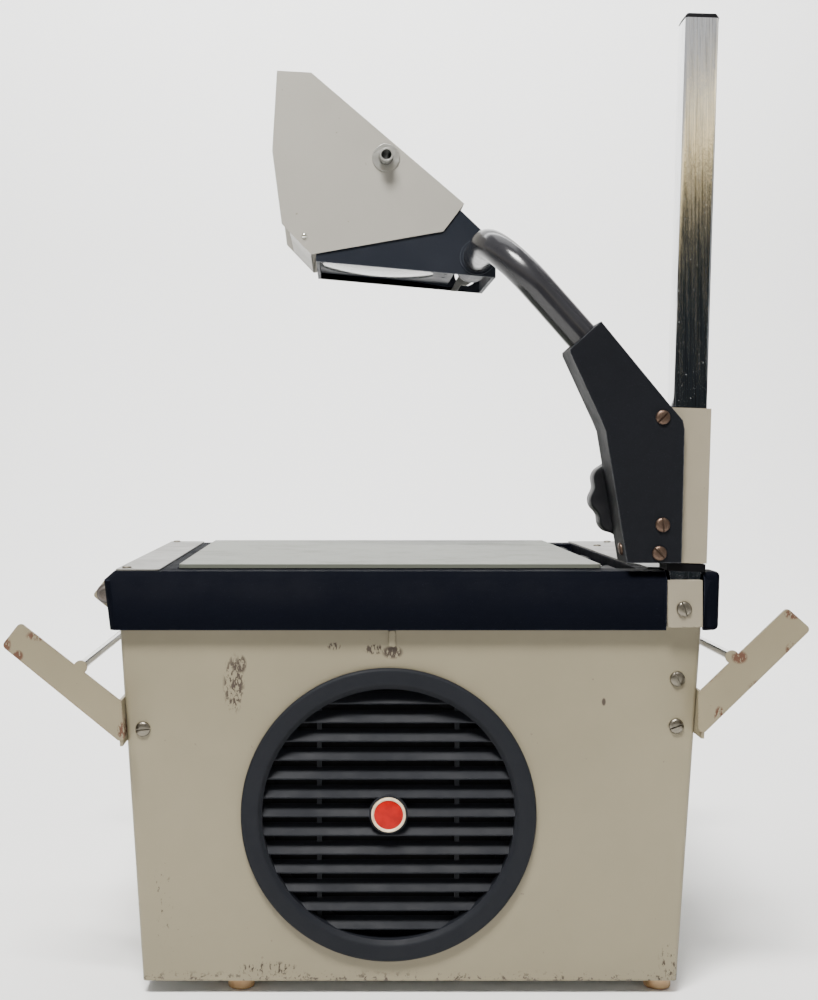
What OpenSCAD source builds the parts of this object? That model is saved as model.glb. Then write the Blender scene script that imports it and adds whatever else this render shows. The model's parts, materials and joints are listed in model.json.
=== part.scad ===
// Overhead projector: a tapered sheet case with a round fan grille, a moulded
// stage with a lift-up glass, a leaning square post with a focusing carriage,
// and a tilting head with lens and mirror. Millimetres, +Z up, floor at z = 0.
// The fan side faces -Y and the head throws its picture towards -X.

/* [Case] */
// Case width at the floor
case_low_w = 356; // [350:1:362]
// Case width at the stage
case_top_w = 384.8; // [380:0.2:386]
// Case depth at the floor
case_low_d = 310; // [306:1:314]
// Case depth at the stage
case_top_d = 326; // [320:1:327]
// Sheet thickness of the case
case_wall = 1.5; // [1:0.1:1.8]
// Rubber foot height
foot_h = 9.2; // [8:0.1:10]

/* [Fan] */
// Outer radius of the round grille
grille_r = 98; // [94:1:102]
// Clear radius inside the grille ring
grille_open_r = 84; // [82:1:86]
// Spacing of the louvres
louvre_pitch = 12.6; // [12:0.1:13.6]
// Number of rotor blades
blade_count = 7; // [5:1:9]
// Radius of the enamel badge
badge_r = 11.5; // [9:0.5:12.5]

/* [Stage] */
// Stage frame width
frame_w = 404; // [402:1:408]
// Stage frame depth
frame_d = 346; // [345:1:350]
// Height of the flat top of the stage frame
frame_z = 283; // [282:0.5:284]
// Stage glass width
glass_w = 284; // [281:1:285]
// Stage glass depth
glass_d = 292; // [288:1:294]
// Stage glass thickness
glass_t = 3; // [2.5:0.1:4]
// Number of grooves in the Fresnel lens
groove_count = 14; // [8:1:20]

/* [Post and carriage] */
// Width of the square post
post_w = 22; // [21.6:0.1:22]
// Post lean away from the head, degrees
post_lean = 1.75; // [1.5:0.05:2]
// Post length above the stage
post_len = 364; // [350:1:380]
// Radius of the rubber-tyred drive roller
roller_r = 13; // [12.5:0.1:13]
// Radius of the focus knob over its lobes
knob_r = 35; // [32:0.5:36]
// Number of lobes on the focus knob
knob_lobes = 11; // [9:1:12]

/* [Head] */
// Width across the head
head_w = 110; // [108:1:112]
// Radius of the arm tube
tube_r = 10.75; // [10:0.05:10.75]
// Bend radius of the arm tube
tube_bend = 45; // [42:1:48]
// Radius of the projection lens
lens_r = 43; // [41:0.5:43]
// Length of the mirror
mirror_l = 124; // [116:1:126]
// Outer radius of the hollow mirror spindle
spindle_r = 5; // [4.6:0.1:5]
// Hole radius of the hollow mirror spindle
spindle_hole_r = 3.7; // [3.2:0.1:3.8]

/* [Roll brackets] */
// Distance between the outer faces of the bracket arms
bracket_d = 358.8; // [356:0.4:360]
// Thickness of the bracket plate
arm_t = 2; // [2:0.1:2.4]
// Radius of the tie rods
rod_r = 3; // [2.5:0.1:3.2]
// Radius of the roll hubs
hub_r = 9; // [8:0.2:9]

/* [Hidden] */
// Move from the case's own centre to the centre of the whole object
shift_x = 3.66;
shift_y = -7;
// Case
case_bot_z = foot_h;
stage_z = 244;
case_lip_z = 262;
case_rise = stage_z - case_bot_z;
case_slope_x = (case_top_w - case_low_w) / 2 / case_rise;
case_slope_y = (case_top_d - case_low_d) / 2 / case_rise;
end_lean = atan(case_slope_x);
side_lean = atan(case_slope_y);
fan_x = -14.5;
fan_z = 120.9;
foot_xs = [-113.5, 168];
foot_y = 138;
// Stage
glass_x = -15.5;
glass_shift = 2.5;
glass_z = frame_z + 0.2;
hinge_x = 142.5;
hinge_z = frame_z - 5.5;
lid_l = -156;
lid_r = 126.5;
lid_hy = 142.5;
// Post frame: its origin is on the post's axis at the stage
post_x = 180.3;
post_y = -159;
// Carriage, in the post frame
chan_in = post_w / 2 + 0.9;
chan_out = chan_in + 1.2;
chan_z0 = 5.7;
chan_z1 = 107.3;
roller_x = -post_w / 2 - roller_r - 0.1;
roller_z = 49;
clamp_pts = [[-19.5, 100.5], [-17.6, 30.4], [-19.1, 11.8]];
// Carriage housing, outline in x and z
house_y0 = -176.5;
house_y1 = -141.5;
house_wall = 2.4;
house_pts = [
  [123.7, 446.7], [169.7, 390.6], [177, 382.1], [178, 376.5], [176, 289],
  [140.6, 289], [133.8, 330.5], [126.5, 375.4], [123.7, 382.1], [103.5, 426], [103.3, 428.4]
];
// Head
tilt_x = 54.5;
tilt_z = 505;
tube_rise = 48.5;
board_lean = 5.15;
lens_x = 46.2;
mirror_x = -13;
mirror_z = 577.8;
mirror_rise = 42;
journal_r = spindle_r - 0.4;
head_t = 1.2;
rivet_x = -72.9;
rivet_z = 520.5;
head_pts = [
  [-93, 641.7], [-67.8, 640.3], [44.6, 544.1], [29.1, 523.8],
  [-67.8, 506.9], [-89.5, 529.4], [-96.5, 582.7]
];
head_open_pts = [
  [-112, 640], [-80, 638], [-80, 545], [-62, 520], [20, 532],
  [40, 546.3], [46.3, 541], [31, 519], [-66, 495], [-112, 515]
];
cradle_pts = [
  [-64.3, 502], [67.7, 490.1], [67.7, 500], [58.6, 523.5],
  [41.2, 540.1], [27, 535], [-58, 520], [-64.3, 513]
];
cradle_hy = head_w / 2 - head_t - 0.03;
// Roll brackets
front_arm_pts = [[-254.8, 250.7], [-266.8, 235.4], [-186.1, 169.8], [-188.9, 199.2]];
rear_arm_pts = [[244, 260.2], [259.7, 246.2], [186.2, 174.9], [186.2, 204.8]];
front_hub = [-253.7, 237.5];
rear_hub = [245.3, 247];
front_rod = [-215.6, 221.4];
rear_rod = [208.5, 228];
// Screw places on the long walls: x and z
wall_screws = [[-177.2, 178], [176.5, 211.4], [176, 180]];
socket_screws = [[176.5, 211.4], [176, 180]];
web_screw_ys = [-120, 0, 120];
deck_left_screws = [[-189, -153], [-189, 153]];
deck_right_screws = [[168, -60], [168, 96], [186, 20], [186, 150]];

// ---- Helpers ----

module placed() {
  translate([shift_x, shift_y, 0]) children();
}

function case_hx(z) = case_low_w / 2 + (z - case_bot_z) * case_slope_x;
function case_hy(z) = case_low_d / 2 + (z - case_bot_z) * case_slope_y;

module round_rect(w, d, r) {
  offset(r = r, $fn = 24) square([w - 2 * r, d - 2 * r], center = true);
}

module taper_block(w0, d0, w1, d1, h, r) {
  hull() {
    linear_extrude(height = 0.01) round_rect(w0, d0, r);
    translate([0, 0, h - 0.01]) linear_extrude(height = 0.01) round_rect(w1, d1, r);
  }
}

// Block given by its two corners
module block(a, b) {
  translate(a) cube(b - a);
}

// Frames on the four leaning walls; local z points out of the case
module near_wall(x, z) {
  translate([x, -case_hy(z), z]) rotate([90 + side_lean, 0, 0]) children();
}

module far_wall(x, z) {
  translate([x, case_hy(z), z]) rotate([-90 - side_lean, 0, 0]) children();
}

module front_wall(y, z) {
  translate([-case_hx(z), y, z]) rotate([0, -90 - end_lean, 0]) children();
}

module rear_wall(y, z) {
  translate([case_hx(z), y, z]) rotate([0, 90 + end_lean, 0]) children();
}

module post_frame() {
  translate([post_x, post_y, frame_z]) rotate([0, post_lean, 0]) children();
}

module cradle_frame() {
  translate([-64.3, 0, 502]) rotate([0, board_lean, 0]) children();
}

// Mirror frame: x along the glass towards its low end, z out of its back
module mirror_frame() {
  translate([mirror_x, 0, mirror_z]) rotate([0, mirror_rise, 0]) children();
}

// Cylinder along +y from y0 to y1
module y_cyl(x, z, y0, y1, r) {
  translate([x, y0, z]) rotate([-90, 0, 0]) cylinder(r = r, h = y1 - y0, $fn = 64);
}

// Outline in x and z, pulled from y0 to y1
module y_plate(y0, y1) {
  translate([0, y1, 0]) rotate([90, 0, 0]) linear_extrude(height = y1 - y0) children();
}

// Slotted screw seen from +z, its head standing on z = 0
module slotted_screw(head_r, head_h, shank_r, shank_l, turn) {
  difference() {
    union() {
      rotate_extrude($fn = 48) polygon([
        [0, -shank_l], [shank_r, -shank_l], [shank_r, 0], [head_r, 0],
        [head_r, head_h * 0.45], [head_r * 0.6, head_h], [0, head_h]
      ]);
    }
    rotate([0, 0, turn]) translate([-head_r - 1, -0.55, head_h * 0.4])
      cube([2 * head_r + 2, 1.1, head_h]);
  }
}

// ---- Case ----

module case_shell() {
  lip_w = 2 * case_hx(case_lip_z);
  lip_d = 2 * case_hy(case_lip_z);
  w2 = 2 * case_wall;
  color([0.63, 0.61, 0.55]) placed() difference() {
    translate([0, 0, case_bot_z])
      taper_block(case_low_w, case_low_d, lip_w, lip_d, case_lip_z - case_bot_z, 3);
    translate([0, 0, case_bot_z])
      taper_block(case_low_w - w2, case_low_d - w2, lip_w - w2, lip_d - w2,
        case_lip_z - case_bot_z, 1.6);
    near_wall(fan_x, fan_z) translate([0, 0, -10]) cylinder(r = grille_open_r + 2, h = 20, $fn = 96);
    far_wall(fan_x, fan_z) translate([-75, -40, -10]) cube([150, 80, 20]);
    front_wall(60, 120) translate([-15, -11, -10]) cube([30, 22, 20]);
    rear_wall(100, 60) translate([-12, -16, -10]) cube([24, 32, 20]);
    for (p = wall_screws) {
      near_wall(p[0], p[1]) translate([0, 0, -5]) cylinder(r = 2.2, h = 10, $fn = 32);
      far_wall(p[0], p[1]) translate([0, 0, -5]) cylinder(r = 2.2, h = 10, $fn = 32);
    }
    for (y = web_screw_ys) {
      front_wall(y, 184.5) translate([0, 0, -5]) cylinder(r = 2.2, h = 10, $fn = 32);
      rear_wall(y, 189.5) translate([0, 0, -5]) cylinder(r = 2.2, h = 10, $fn = 32);
    }
    block([134, -172, 246], [200, -138, 264]);
  }
}

module base_plate() {
  pw = case_low_w - 2 * case_wall - 0.6;
  pd = case_low_d - 2 * case_wall - 0.6;
  color([0.55, 0.55, 0.52]) placed() difference() {
    translate([0, 0, case_bot_z]) linear_extrude(height = 12) round_rect(pw, pd, 1.6);
    translate([0, 0, case_bot_z + 1.5]) linear_extrude(height = 12) round_rect(pw - 2.4, pd - 2.4, 1);
    for (x = foot_xs, y = [-foot_y, foot_y])
      translate([x, y, 0]) cylinder(r = 2.1, h = 20, $fn = 32);
    for (i = [0:8], j = [-1, 1])
      block([-100 + i * 24, j * 60 - 26, 8], [-92 + i * 24, j * 60 + 26, 12]);
  }
}

module rubber_feet() {
  color([0.74, 0.6, 0.42]) placed() for (x = foot_xs, y = [-foot_y, foot_y])
    translate([x, y, 0]) rotate_extrude($fn = 64) polygon([
      [4.7, 0], [8, 0], [9, 1], [9, foot_h], [2.3, foot_h], [2.3, 4], [4.7, 4]
    ]);
}

module foot_screws() {
  color([0.7, 0.7, 0.7]) placed() for (x = foot_xs, y = [-foot_y, foot_y])
    translate([x, y, 0]) {
      rotate([180, 0, 0]) translate([0, 0, -4]) slotted_screw(4.2, 2.6, 2, 12.5, 30);
      translate([0, 0, case_bot_z + 1.5]) difference() {
        cylinder(r = 4.2, h = 3.2, $fn = 6);
        translate([0, 0, -1]) cylinder(r = 1.9, h = 6, $fn = 32);
      }
    }
}

module fan_grille() {
  color([0.1, 0.11, 0.12]) placed() near_wall(fan_x, fan_z) {
    rotate_extrude($fn = 128) polygon([
      [grille_open_r, -7], [grille_open_r + 1.6, -7], [grille_open_r + 1.6, 0], [grille_r, 0],
      [grille_r, 2.5], [grille_r - 2, 4.6], [grille_open_r + 2, 4.6], [grille_open_r, 2.6]
    ]);
    intersection() {
      translate([0, 0, -10.5]) cylinder(r = grille_open_r + 0.5, h = 14.5, $fn = 128);
      union() {
        for (i = [-6:6])
          translate([0, i * louvre_pitch, -5]) rotate([-40, 0, 0])
            translate([-grille_r, -5.6, -1.1]) cube([2 * grille_r, 11.2, 2.2]);
        for (x = [-46, 46])
          translate([x - 1.5, -grille_r, -7]) cube([3, 2 * grille_r, 3]);
      }
    }
    translate([0, 0, -3]) cylinder(r = badge_r + 1.5, h = 3.4, $fn = 64);
  }
}

module grille_badge() {
  color([0.8, 0.2, 0.12]) placed() near_wall(fan_x, fan_z) translate([0, 0, 0.4])
    rotate_extrude($fn = 96) polygon([
      [0, 0], [badge_r, 0], [badge_r, 1.5], [badge_r - 0.6, 2.1],
      [badge_r - 1.6, 2.1], [badge_r - 2, 1.7], [0, 1.9]
    ]);
}

module exhaust_grille() {
  color([0.1, 0.11, 0.12]) placed() far_wall(fan_x, fan_z) difference() {
    union() {
      translate([-82, -47, 0]) cube([164, 94, 3]);
      translate([-74, -39, -5]) cube([148, 78, 6]);
    }
    for (i = [-4:4], j = [-1, 1])
      translate([j * 35 - 31, i * 8 - 2, -6]) cube([62, 4, 12]);
    translate([-71, -36, -6]) cube([142, 72, 4]);
  }
}

module case_screws() {
  color([0.75, 0.75, 0.76]) placed() {
    for (i = [0:2]) {
      near_wall(wall_screws[i][0], wall_screws[i][1]) slotted_screw(5, 2.4, 2, 8, 20 + 35 * i);
      far_wall(wall_screws[i][0], wall_screws[i][1]) slotted_screw(5, 2.4, 2, 8, 70 - 30 * i);
      front_wall(web_screw_ys[i], 184.5) translate([0, 0, arm_t]) slotted_screw(4.5, 2.2, 2, 8, 40 * i);
      rear_wall(web_screw_ys[i], 189.5) translate([0, 0, arm_t]) slotted_screw(4.5, 2.2, 2, 8, 50 * i);
    }
    translate([178.4, -173, 258.7]) rotate([90, 0, 0]) slotted_screw(5, 2.4, 2.4, 12, 60);
  }
}

module switch_bezel() {
  color([0.08, 0.08, 0.09]) placed() front_wall(60, 120) difference() {
    union() {
      translate([-17, -13, 0]) cube([34, 26, 2]);
      translate([-14.7, -10.7, -22]) cube([29.4, 21.4, 23]);
    }
    translate([-12, -8, -9]) cube([24, 16, 12]);
    translate([0, 12, -3]) rotate([90, 0, 0]) cylinder(r = 1.6, h = 24, $fn = 32);
  }
}

module switch_rocker() {
  color([0.65, 0.12, 0.08]) placed() front_wall(60, 120) {
    difference() {
      translate([0, 7.6, 0]) rotate([90, 0, 0]) linear_extrude(height = 15.2) polygon([
        [-10.8, 0.6], [-10.8, 2.6], [0, 0.6], [10.8, 4.4], [10.8, 1.6], [4, -6], [-4, -6]
      ]);
      translate([0, 12, -3]) rotate([90, 0, 0]) cylinder(r = 1.6, h = 24, $fn = 32);
    }
    translate([0, 10.5, -3]) rotate([90, 0, 0]) cylinder(r = 1.55, h = 21, $fn = 32);
  }
}

module power_inlet() {
  color([0.07, 0.07, 0.08]) placed() rear_wall(100, 60) {
    difference() {
      union() {
        translate([-15, -22, 0]) cube([30, 44, 2.5]);
        translate([-11.7, -15.7, -20]) cube([23.4, 31.4, 21]);
      }
      translate([-9.5, -13.5, -17]) cube([19, 27, 22]);
      for (j = [-1, 1]) translate([0, j * 19, -3]) cylinder(r = 1.6, h = 8, $fn = 32);
    }
    for (p = [[-2, -7], [3, 0], [-2, 7]])
      translate([p[0] - 2, p[1] - 0.8, -18]) cube([4, 1.6, 14]);
  }
}

// ---- Stage ----

module stage_frame() {
  low_w = frame_w - 7;
  low_d = frame_d - 7;
  rim_z = frame_z - 5.6;
  color([0.1, 0.11, 0.14]) placed() difference() {
    union() {
      difference() {
        union() {
          translate([0, 0, stage_z + 0.3])
            taper_block(low_w, low_d, frame_w, frame_d, rim_z - stage_z - 0.3, 5.6);
          translate([0, 0, rim_z])
            taper_block(frame_w, frame_d, frame_w - 12, frame_d - 12, frame_z - rim_z, 5.6);
        }
        block([-194.9, -165.9, stage_z], [194.9, 165.9, frame_z - 3.6]);
        block([lid_l - 1, -lid_hy - 0.6, stage_z], [hinge_x + 11, lid_hy + 0.6, frame_z + 1]);
      }
      // ledge that rests on the case lip
      difference() {
        block([-196, -167, case_lip_z], [196, 167, case_lip_z + 4]);
        block([-184, -154, case_lip_z - 1], [184, 154, case_lip_z + 5]);
      }
      // hinge trough
      difference() {
        block([hinge_x - 14.5, -166, hinge_z - 7.5], [hinge_x + 14, 166, frame_z - 0.5]);
        block([hinge_x - 11.5, -lid_hy - 0.6, hinge_z - 5.5], [hinge_x + 11, lid_hy + 0.6, frame_z + 1]);
        block([hinge_x - 16, -lid_hy - 0.6, frame_z - 4], [hinge_x - 11, lid_hy + 0.6, frame_z + 1]);
      }
      for (y = [-127, -93, -17, 17, 93, 127])
        difference() {
          union() {
            y_cyl(hinge_x, hinge_z, y - 4, y + 4, 4);
            block([hinge_x - 4, y - 4, hinge_z - 6], [hinge_x + 4, y + 4, hinge_z]);
          }
          y_cyl(hinge_x, hinge_z, y - 5, y + 5, 2.1);
        }
    }
    // corner left open for the post
    block([167.6, -175, stage_z - 1], [191.8, -146.6, frame_z + 1]);
    block([133, -166, stage_z - 1], [192.5, -98, 268]);
    y_cyl(hinge_x, hinge_z, -134.6, 134.6, 2.1);
    for (p = deck_left_screws) translate([p[0], p[1], 270]) cylinder(r = 1.3, h = 20, $fn = 32);
    for (p = deck_right_screws) translate([p[0], p[1], 270]) cylinder(r = 1.3, h = 20, $fn = 32);
  }
}

module deck_left() {
  color([0.68, 0.68, 0.65]) placed() difference() {
    translate([-180.5, 0, frame_z]) linear_extrude(height = 1.2) round_rect(29, 330, 3);
    for (p = deck_left_screws) translate([p[0], p[1], 280]) cylinder(r = 1.7, h = 10, $fn = 32);
    block([-191, -160, 280], [-184, -157.6, 290]);
  }
}

module deck_right() {
  color([0.68, 0.68, 0.65]) placed() difference() {
    translate([0, 0, frame_z]) linear_extrude(height = 1.2) polygon([
      [154.5, -92], [160, -116], [160, -145.8], [192, -145.8], [195.5, -142],
      [195.5, 162], [192.5, 165], [154.5, 165]
    ]);
    for (p = deck_right_screws) translate([p[0], p[1], 280]) cylinder(r = 1.7, h = 10, $fn = 32);
  }
}

module deck_screws() {
  color([0.72, 0.72, 0.72]) placed() {
    for (p = deck_left_screws)
      translate([p[0], p[1], frame_z + 1.2]) slotted_screw(3.2, 1.4, 1.25, 6, p[1]);
    for (p = deck_right_screws)
      translate([p[0], p[1], frame_z + 1.2]) slotted_screw(3.2, 1.4, 1.25, 6, p[1]);
  }
}

module lid_frame() {
  z0 = hinge_z - 0.5;
  color([0.16, 0.17, 0.18]) placed() difference() {
    union() {
      block([lid_l, -lid_hy, z0], [lid_r, lid_hy, glass_z]);
      for (y = [-110, 0, 110]) {
        block([lid_r - 6, y - 12.8, frame_z - 3.5], [hinge_x, y + 12.8, frame_z - 1.5]);
        y_cyl(hinge_x, hinge_z, y - 12.8, y + 12.8, 4);
      }
    }
    block([lid_l + 11, -lid_hy + 11, z0 - 1], [lid_r - 11, lid_hy - 11, glass_z + 1]);
    block([lid_l + 3, -lid_hy + 3, glass_z - 2.6], [lid_r - 3, lid_hy - 3, glass_z + 1]);
    y_cyl(hinge_x, hinge_z, -140, 140, 2.06);
  }
}

module stage_glass() {
  color([0.75, 0.8, 0.76]) placed() translate([glass_x + glass_shift, 0, glass_z])
    linear_extrude(height = glass_t) round_rect(glass_w, glass_d, 2);
}

module fresnel_lens() {
  step = 9;
  color([0.85, 0.88, 0.86]) placed() difference() {
    block([lid_l + 3.5, -lid_hy + 3.5, glass_z - 2.5], [lid_r - 3.5, lid_hy - 3.5, glass_z - 0.3]);
    translate([glass_x, 0, glass_z - 2.5]) rotate_extrude($fn = 96)
      for (i = [1:groove_count])
        polygon([[i * step - 1.2, -0.1], [i * step, 0.8], [i * step + 0.1, -0.1]]);
  }
}

module lid_hinge_pin() {
  color([0.75, 0.75, 0.76]) placed() y_cyl(hinge_x, hinge_z, -134, 134, 2);
}

// ---- Lamp house and fan ----

module lamp_chassis() {
  color([0.6, 0.62, 0.63]) placed() translate([glass_x, 10, 0]) difference() {
    union() {
      block([-75, -60, 44], [75, 60, 45.5]);
      for (j = [-1, 1]) {
        block([j * 74.25 - 0.75, -60, 10.7], [j * 74.25 + 0.75, 60, 45.5]);
        block([j * 80 - 6.5, -60, 10.7], [j * 80 + 6.5, 60, 12.2]);
      }
    }
    for (i = [-4:4]) translate([i * 14, 44, 40]) cylinder(r = 3, h = 10, $fn = 32);
    for (x = [-60, 60]) block([x - 8, -40, 40], [x + 8, 20, 50]);
  }
}

module lamp_socket() {
  color([0.86, 0.84, 0.78]) placed() translate([glass_x, 0, 45.5]) difference() {
    translate([-16, -9, 0]) cube([32, 18, 15]);
    for (j = [-1, 1]) translate([j * 3.2, 0, 5]) cylinder(r = 1.2, h = 12, $fn = 32);
    for (j = [-1, 1]) translate([j * 12, 0, -1]) cylinder(r = 1.8, h = 24, $fn = 32);
  }
}

module lamp_bulb() {
  color([0.9, 0.9, 0.88]) placed() translate([glass_x, 0, 60.7]) {
    rotate_extrude($fn = 64) polygon([
      [0, 0], [5, 0], [7, 3], [7, 22], [5.6, 27], [2, 30], [0, 30.6]
    ]);
    for (j = [-1, 1]) translate([j * 3.2, 0, -9]) cylinder(r = 1, h = 11, $fn = 24);
  }
}

module reflector() {
  color([0.85, 0.86, 0.88]) placed() translate([glass_x, 0, 78]) {
    rotate_extrude($fn = 96) polygon(concat(
      [for (a = [62:-7:20]) [36 * sin(a), -36 * cos(a) + 18]],
      [for (a = [20:7:62]) [37.2 * sin(a), -37.2 * cos(a) + 18]]
    ));
    for (j = [-1, 1]) block([j * 27 - 4, -5, -32.5], [j * 27 + 4, 5, -3.5]);
  }
}

module condenser_ring() {
  color([0.2, 0.2, 0.21]) placed() translate([glass_x, 0, 108]) {
    rotate_extrude($fn = 96) polygon([
      [36, 0], [42, 0], [42, 8], [40.2, 8], [40.2, 2], [36, 2]
    ]);
    for (a = [45:90:315])
      rotate([0, 0, a]) block([40.7, -4, -62.5], [43.2, 4, 6]);
  }
}

module condenser_glass() {
  color([0.8, 0.86, 0.88]) placed() translate([glass_x, 0, 110.1])
    rotate_extrude($fn = 96) polygon(concat(
      [[0, 0], [40, 0], [40, 3]],
      [for (a = [35:-5:5]) [70 * sin(a), 70 * cos(a) - 54.3]],
      [[0, 15.7]]
    ));
}

module fan_bracket() {
  color([0.55, 0.57, 0.58]) placed() near_wall(fan_x, fan_z) difference() {
    union() {
      translate([0, 0, -44]) difference() {
        cylinder(r = 80, h = 34, $fn = 96);
        translate([0, 0, -1]) cylinder(r = 78.6, h = 40, $fn = 96);
      }
      translate([0, 0, -12]) difference() {
        cylinder(r = 94, h = 2, $fn = 96);
        translate([0, 0, -1]) cylinder(r = 78.6, h = 40, $fn = 96);
      }
      for (a = [45:90:315])
        rotate([0, 0, a]) {
          translate([24, -5, -44]) cube([55.5, 10, 2]);
          translate([89, -4, -12]) cube([4, 8, 10.4]);
        }
      translate([0, 0, -44]) cylinder(r = 30, h = 2, $fn = 64);
    }
    translate([0, 0, -50]) cylinder(r = 7, h = 20, $fn = 64);
  }
}

module fan_motor() {
  color([0.35, 0.36, 0.38]) placed() near_wall(fan_x, fan_z) difference() {
    union() {
      translate([0, 0, -84]) cylinder(r = 28, h = 39.9, $fn = 64);
      translate([0, 0, -44.2]) cylinder(r = 6.9, h = 5, $fn = 64);
      translate([0, 0, -40]) cylinder(r = 2.5, h = 22, $fn = 32);
    }
    for (a = [0:30:330])
      rotate([0, 0, a]) translate([20, -1.5, -85]) cube([4, 3, 6]);
  }
}

module fan_rotor() {
  color([0.75, 0.76, 0.78]) placed() near_wall(fan_x, fan_z) {
    difference() {
      translate([0, 0, -34]) cylinder(r = 20, h = 18, $fn = 64);
      translate([0, 0, -35]) cylinder(r = 2.55, h = 17.4, $fn = 32);
    }
    for (a = [0:360 / blade_count:359])
      rotate([0, 0, a]) translate([19, 0, -25]) rotate([32, 0, 0])
        translate([0, -14, -0.6]) cube([56, 28, 1.2]);
  }
}

// ---- Post ----

module post() {
  color([0.8, 0.82, 0.84]) placed() post_frame() difference() {
    translate([0, 0, -32.2]) linear_extrude(height = post_len + 32.2) difference() {
      round_rect(post_w, post_w, 2);
      square(post_w - 3, center = true);
    }
    translate([-1.2, 0, -24.3]) rotate([90, 0, 0]) cylinder(r = 2.6, h = 20, $fn = 32);
  }
}

module post_cap() {
  color([0.05, 0.05, 0.06]) placed() post_frame() translate([0, 0, post_len]) {
    taper_block(post_w + 0.6, post_w + 0.6, post_w - 2.4, post_w - 2.4, 3, 2);
    translate([0, 0, -12]) linear_extrude(height = 12.1) difference() {
      square(post_w - 3.2, center = true);
      square(post_w - 6.4, center = true);
    }
  }
}

module post_socket() {
  color([0.62, 0.63, 0.64]) placed() difference() {
    union() {
      post_frame() block([-9.3, -9.3, -34], [9.3, 9.3, -1]);
      block([140, -165.2, 246.3], [190, -100, 250.2]);
      block([168.6, -169.4, 246.3], [190, -165, 250.2]);
      near_wall(176, 208) translate([-12, -38, -5.1]) cube([20.5, 78, 3.5]);
    }
    translate([178.4, -158, 258.7]) rotate([90, 0, 0]) cylinder(r = 2.5, h = 20, $fn = 32);
    for (p = socket_screws)
      near_wall(p[0], p[1]) translate([0, 0, -10]) cylinder(r = 2.1, h = 10, $fn = 32);
  }
}

module post_bracket() {
  color([0.63, 0.61, 0.55]) placed() difference() {
    block([167.9, -173, 246.6], [190.7, -170.1, 277.5]);
    translate([178.4, -160, 258.7]) rotate([90, 0, 0]) cylinder(r = 2.6, h = 20, $fn = 32);
  }
}

// ---- Carriage ----

module carriage_channel() {
  color([0.63, 0.61, 0.55]) placed() post_frame() difference() {
    block([-33, -chan_out, chan_z0], [chan_out, chan_out, chan_z1]);
    block([-40, -chan_in, chan_z0 - 1], [chan_in, chan_in, chan_z1 + 1]);
    y_cyl(roller_x, roller_z, -20, 20, 4.05);
    for (p = clamp_pts) y_cyl(p[0], p[1], -20, 20, 2.1);
  }
}

module glide_liners() {
  color([0.85, 0.84, 0.78]) placed() post_frame() for (z = [9, 84]) difference() {
    block([-10, -chan_in + 0.05, z], [chan_in - 0.05, chan_in - 0.05, z + 20]);
    block([-11, -post_w / 2 - 0.12, z - 1], [post_w / 2 + 0.12, post_w / 2 + 0.12, z + 21]);
  }
}

module housing_shell() {
  color([0.09, 0.1, 0.12]) placed() difference() {
    union() {
      difference() {
        y_plate(house_y0 + house_wall, house_y1) polygon(house_pts);
        y_plate(house_y0, house_y1 - house_wall)
          offset(delta = -house_wall) polygon(house_pts);
      }
      // cross ribs that hold the tube
      intersection() {
        y_plate(house_y0 + 4, house_y1 - 1) offset(delta = -1.2) polygon(house_pts);
        arm_path_frame() for (d = [96, 122]) block([d, -16, -40], [d + 3, 18, 40]);
      }
    }
    post_frame() block([-34.5, -16.1, -20], [30, house_y1 - house_wall - post_y + 0.4, 108.4]);
    arm_path_frame() translate([60, 0, 0]) rotate([0, 90, 0]) cylinder(r = tube_r + 0.05, h = 81, $fn = 64);
    post_frame() y_cyl(roller_x, roller_z, 10, 30, 4.3);
  }
}

module housing_cover() {
  color([0.09, 0.1, 0.12]) placed() difference() {
    y_plate(house_y0, house_y0 + house_wall - 0.02) polygon(house_pts);
    post_frame() for (p = clamp_pts) y_cyl(p[0], p[1], -30, 0, 2.1);
  }
}

module housing_screws() {
  color([0.42, 0.35, 0.28]) placed() post_frame() for (i = [0:2])
    translate([clamp_pts[i][0], house_y0 - post_y, clamp_pts[i][1]]) rotate([90, 0, 0])
      slotted_screw(4.8, 2.2, 2, 32, 45 + 70 * i);
}

module drive_shaft() {
  color([0.7, 0.71, 0.72]) placed() post_frame() {
    y_cyl(roller_x, roller_z, -14.6, 36, 4);
    y_cyl(roller_x, roller_z, -9, 9, 10.5);
    y_cyl(roller_x, roller_z, -14.8, -13.4, 6);
  }
}

module drive_tyre() {
  color([0.12, 0.12, 0.12]) placed() post_frame() translate([roller_x, -8, roller_z])
    rotate([-90, 0, 0]) difference() {
      cylinder(r = roller_r, h = 16, $fn = 96);
      translate([0, 0, -1]) cylinder(r = 10.5, h = 18, $fn = 96);
    }
}

module focus_knob() {
  color([0.08, 0.09, 0.1]) placed() post_frame() translate([roller_x, 18.2, roller_z])
    rotate([-90, 0, 0]) difference() {
      union() {
        linear_extrude(height = 20) union() {
          circle(r = knob_r - 5, $fn = 96);
          for (a = [0:360 / knob_lobes:359])
            rotate(a) translate([knob_r - 9, 0]) circle(r = 9, $fn = 48);
        }
        cylinder(r = 13, h = 22, $fn = 64);
      }
      translate([0, 0, -1]) cylinder(r = 4.02, h = 19.5, $fn = 64);
      rotate_extrude($fn = 96) polygon([[18, 18], [26, 18], [26, 21], [18, 21]]);
    }
}

// ---- Arm ----

// Frame at the tube's corner: x runs down the tube towards the carriage
module arm_path_frame() {
  translate([tilt_x, post_y, tilt_z]) rotate([0, tube_rise, 0]) children();
}

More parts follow.
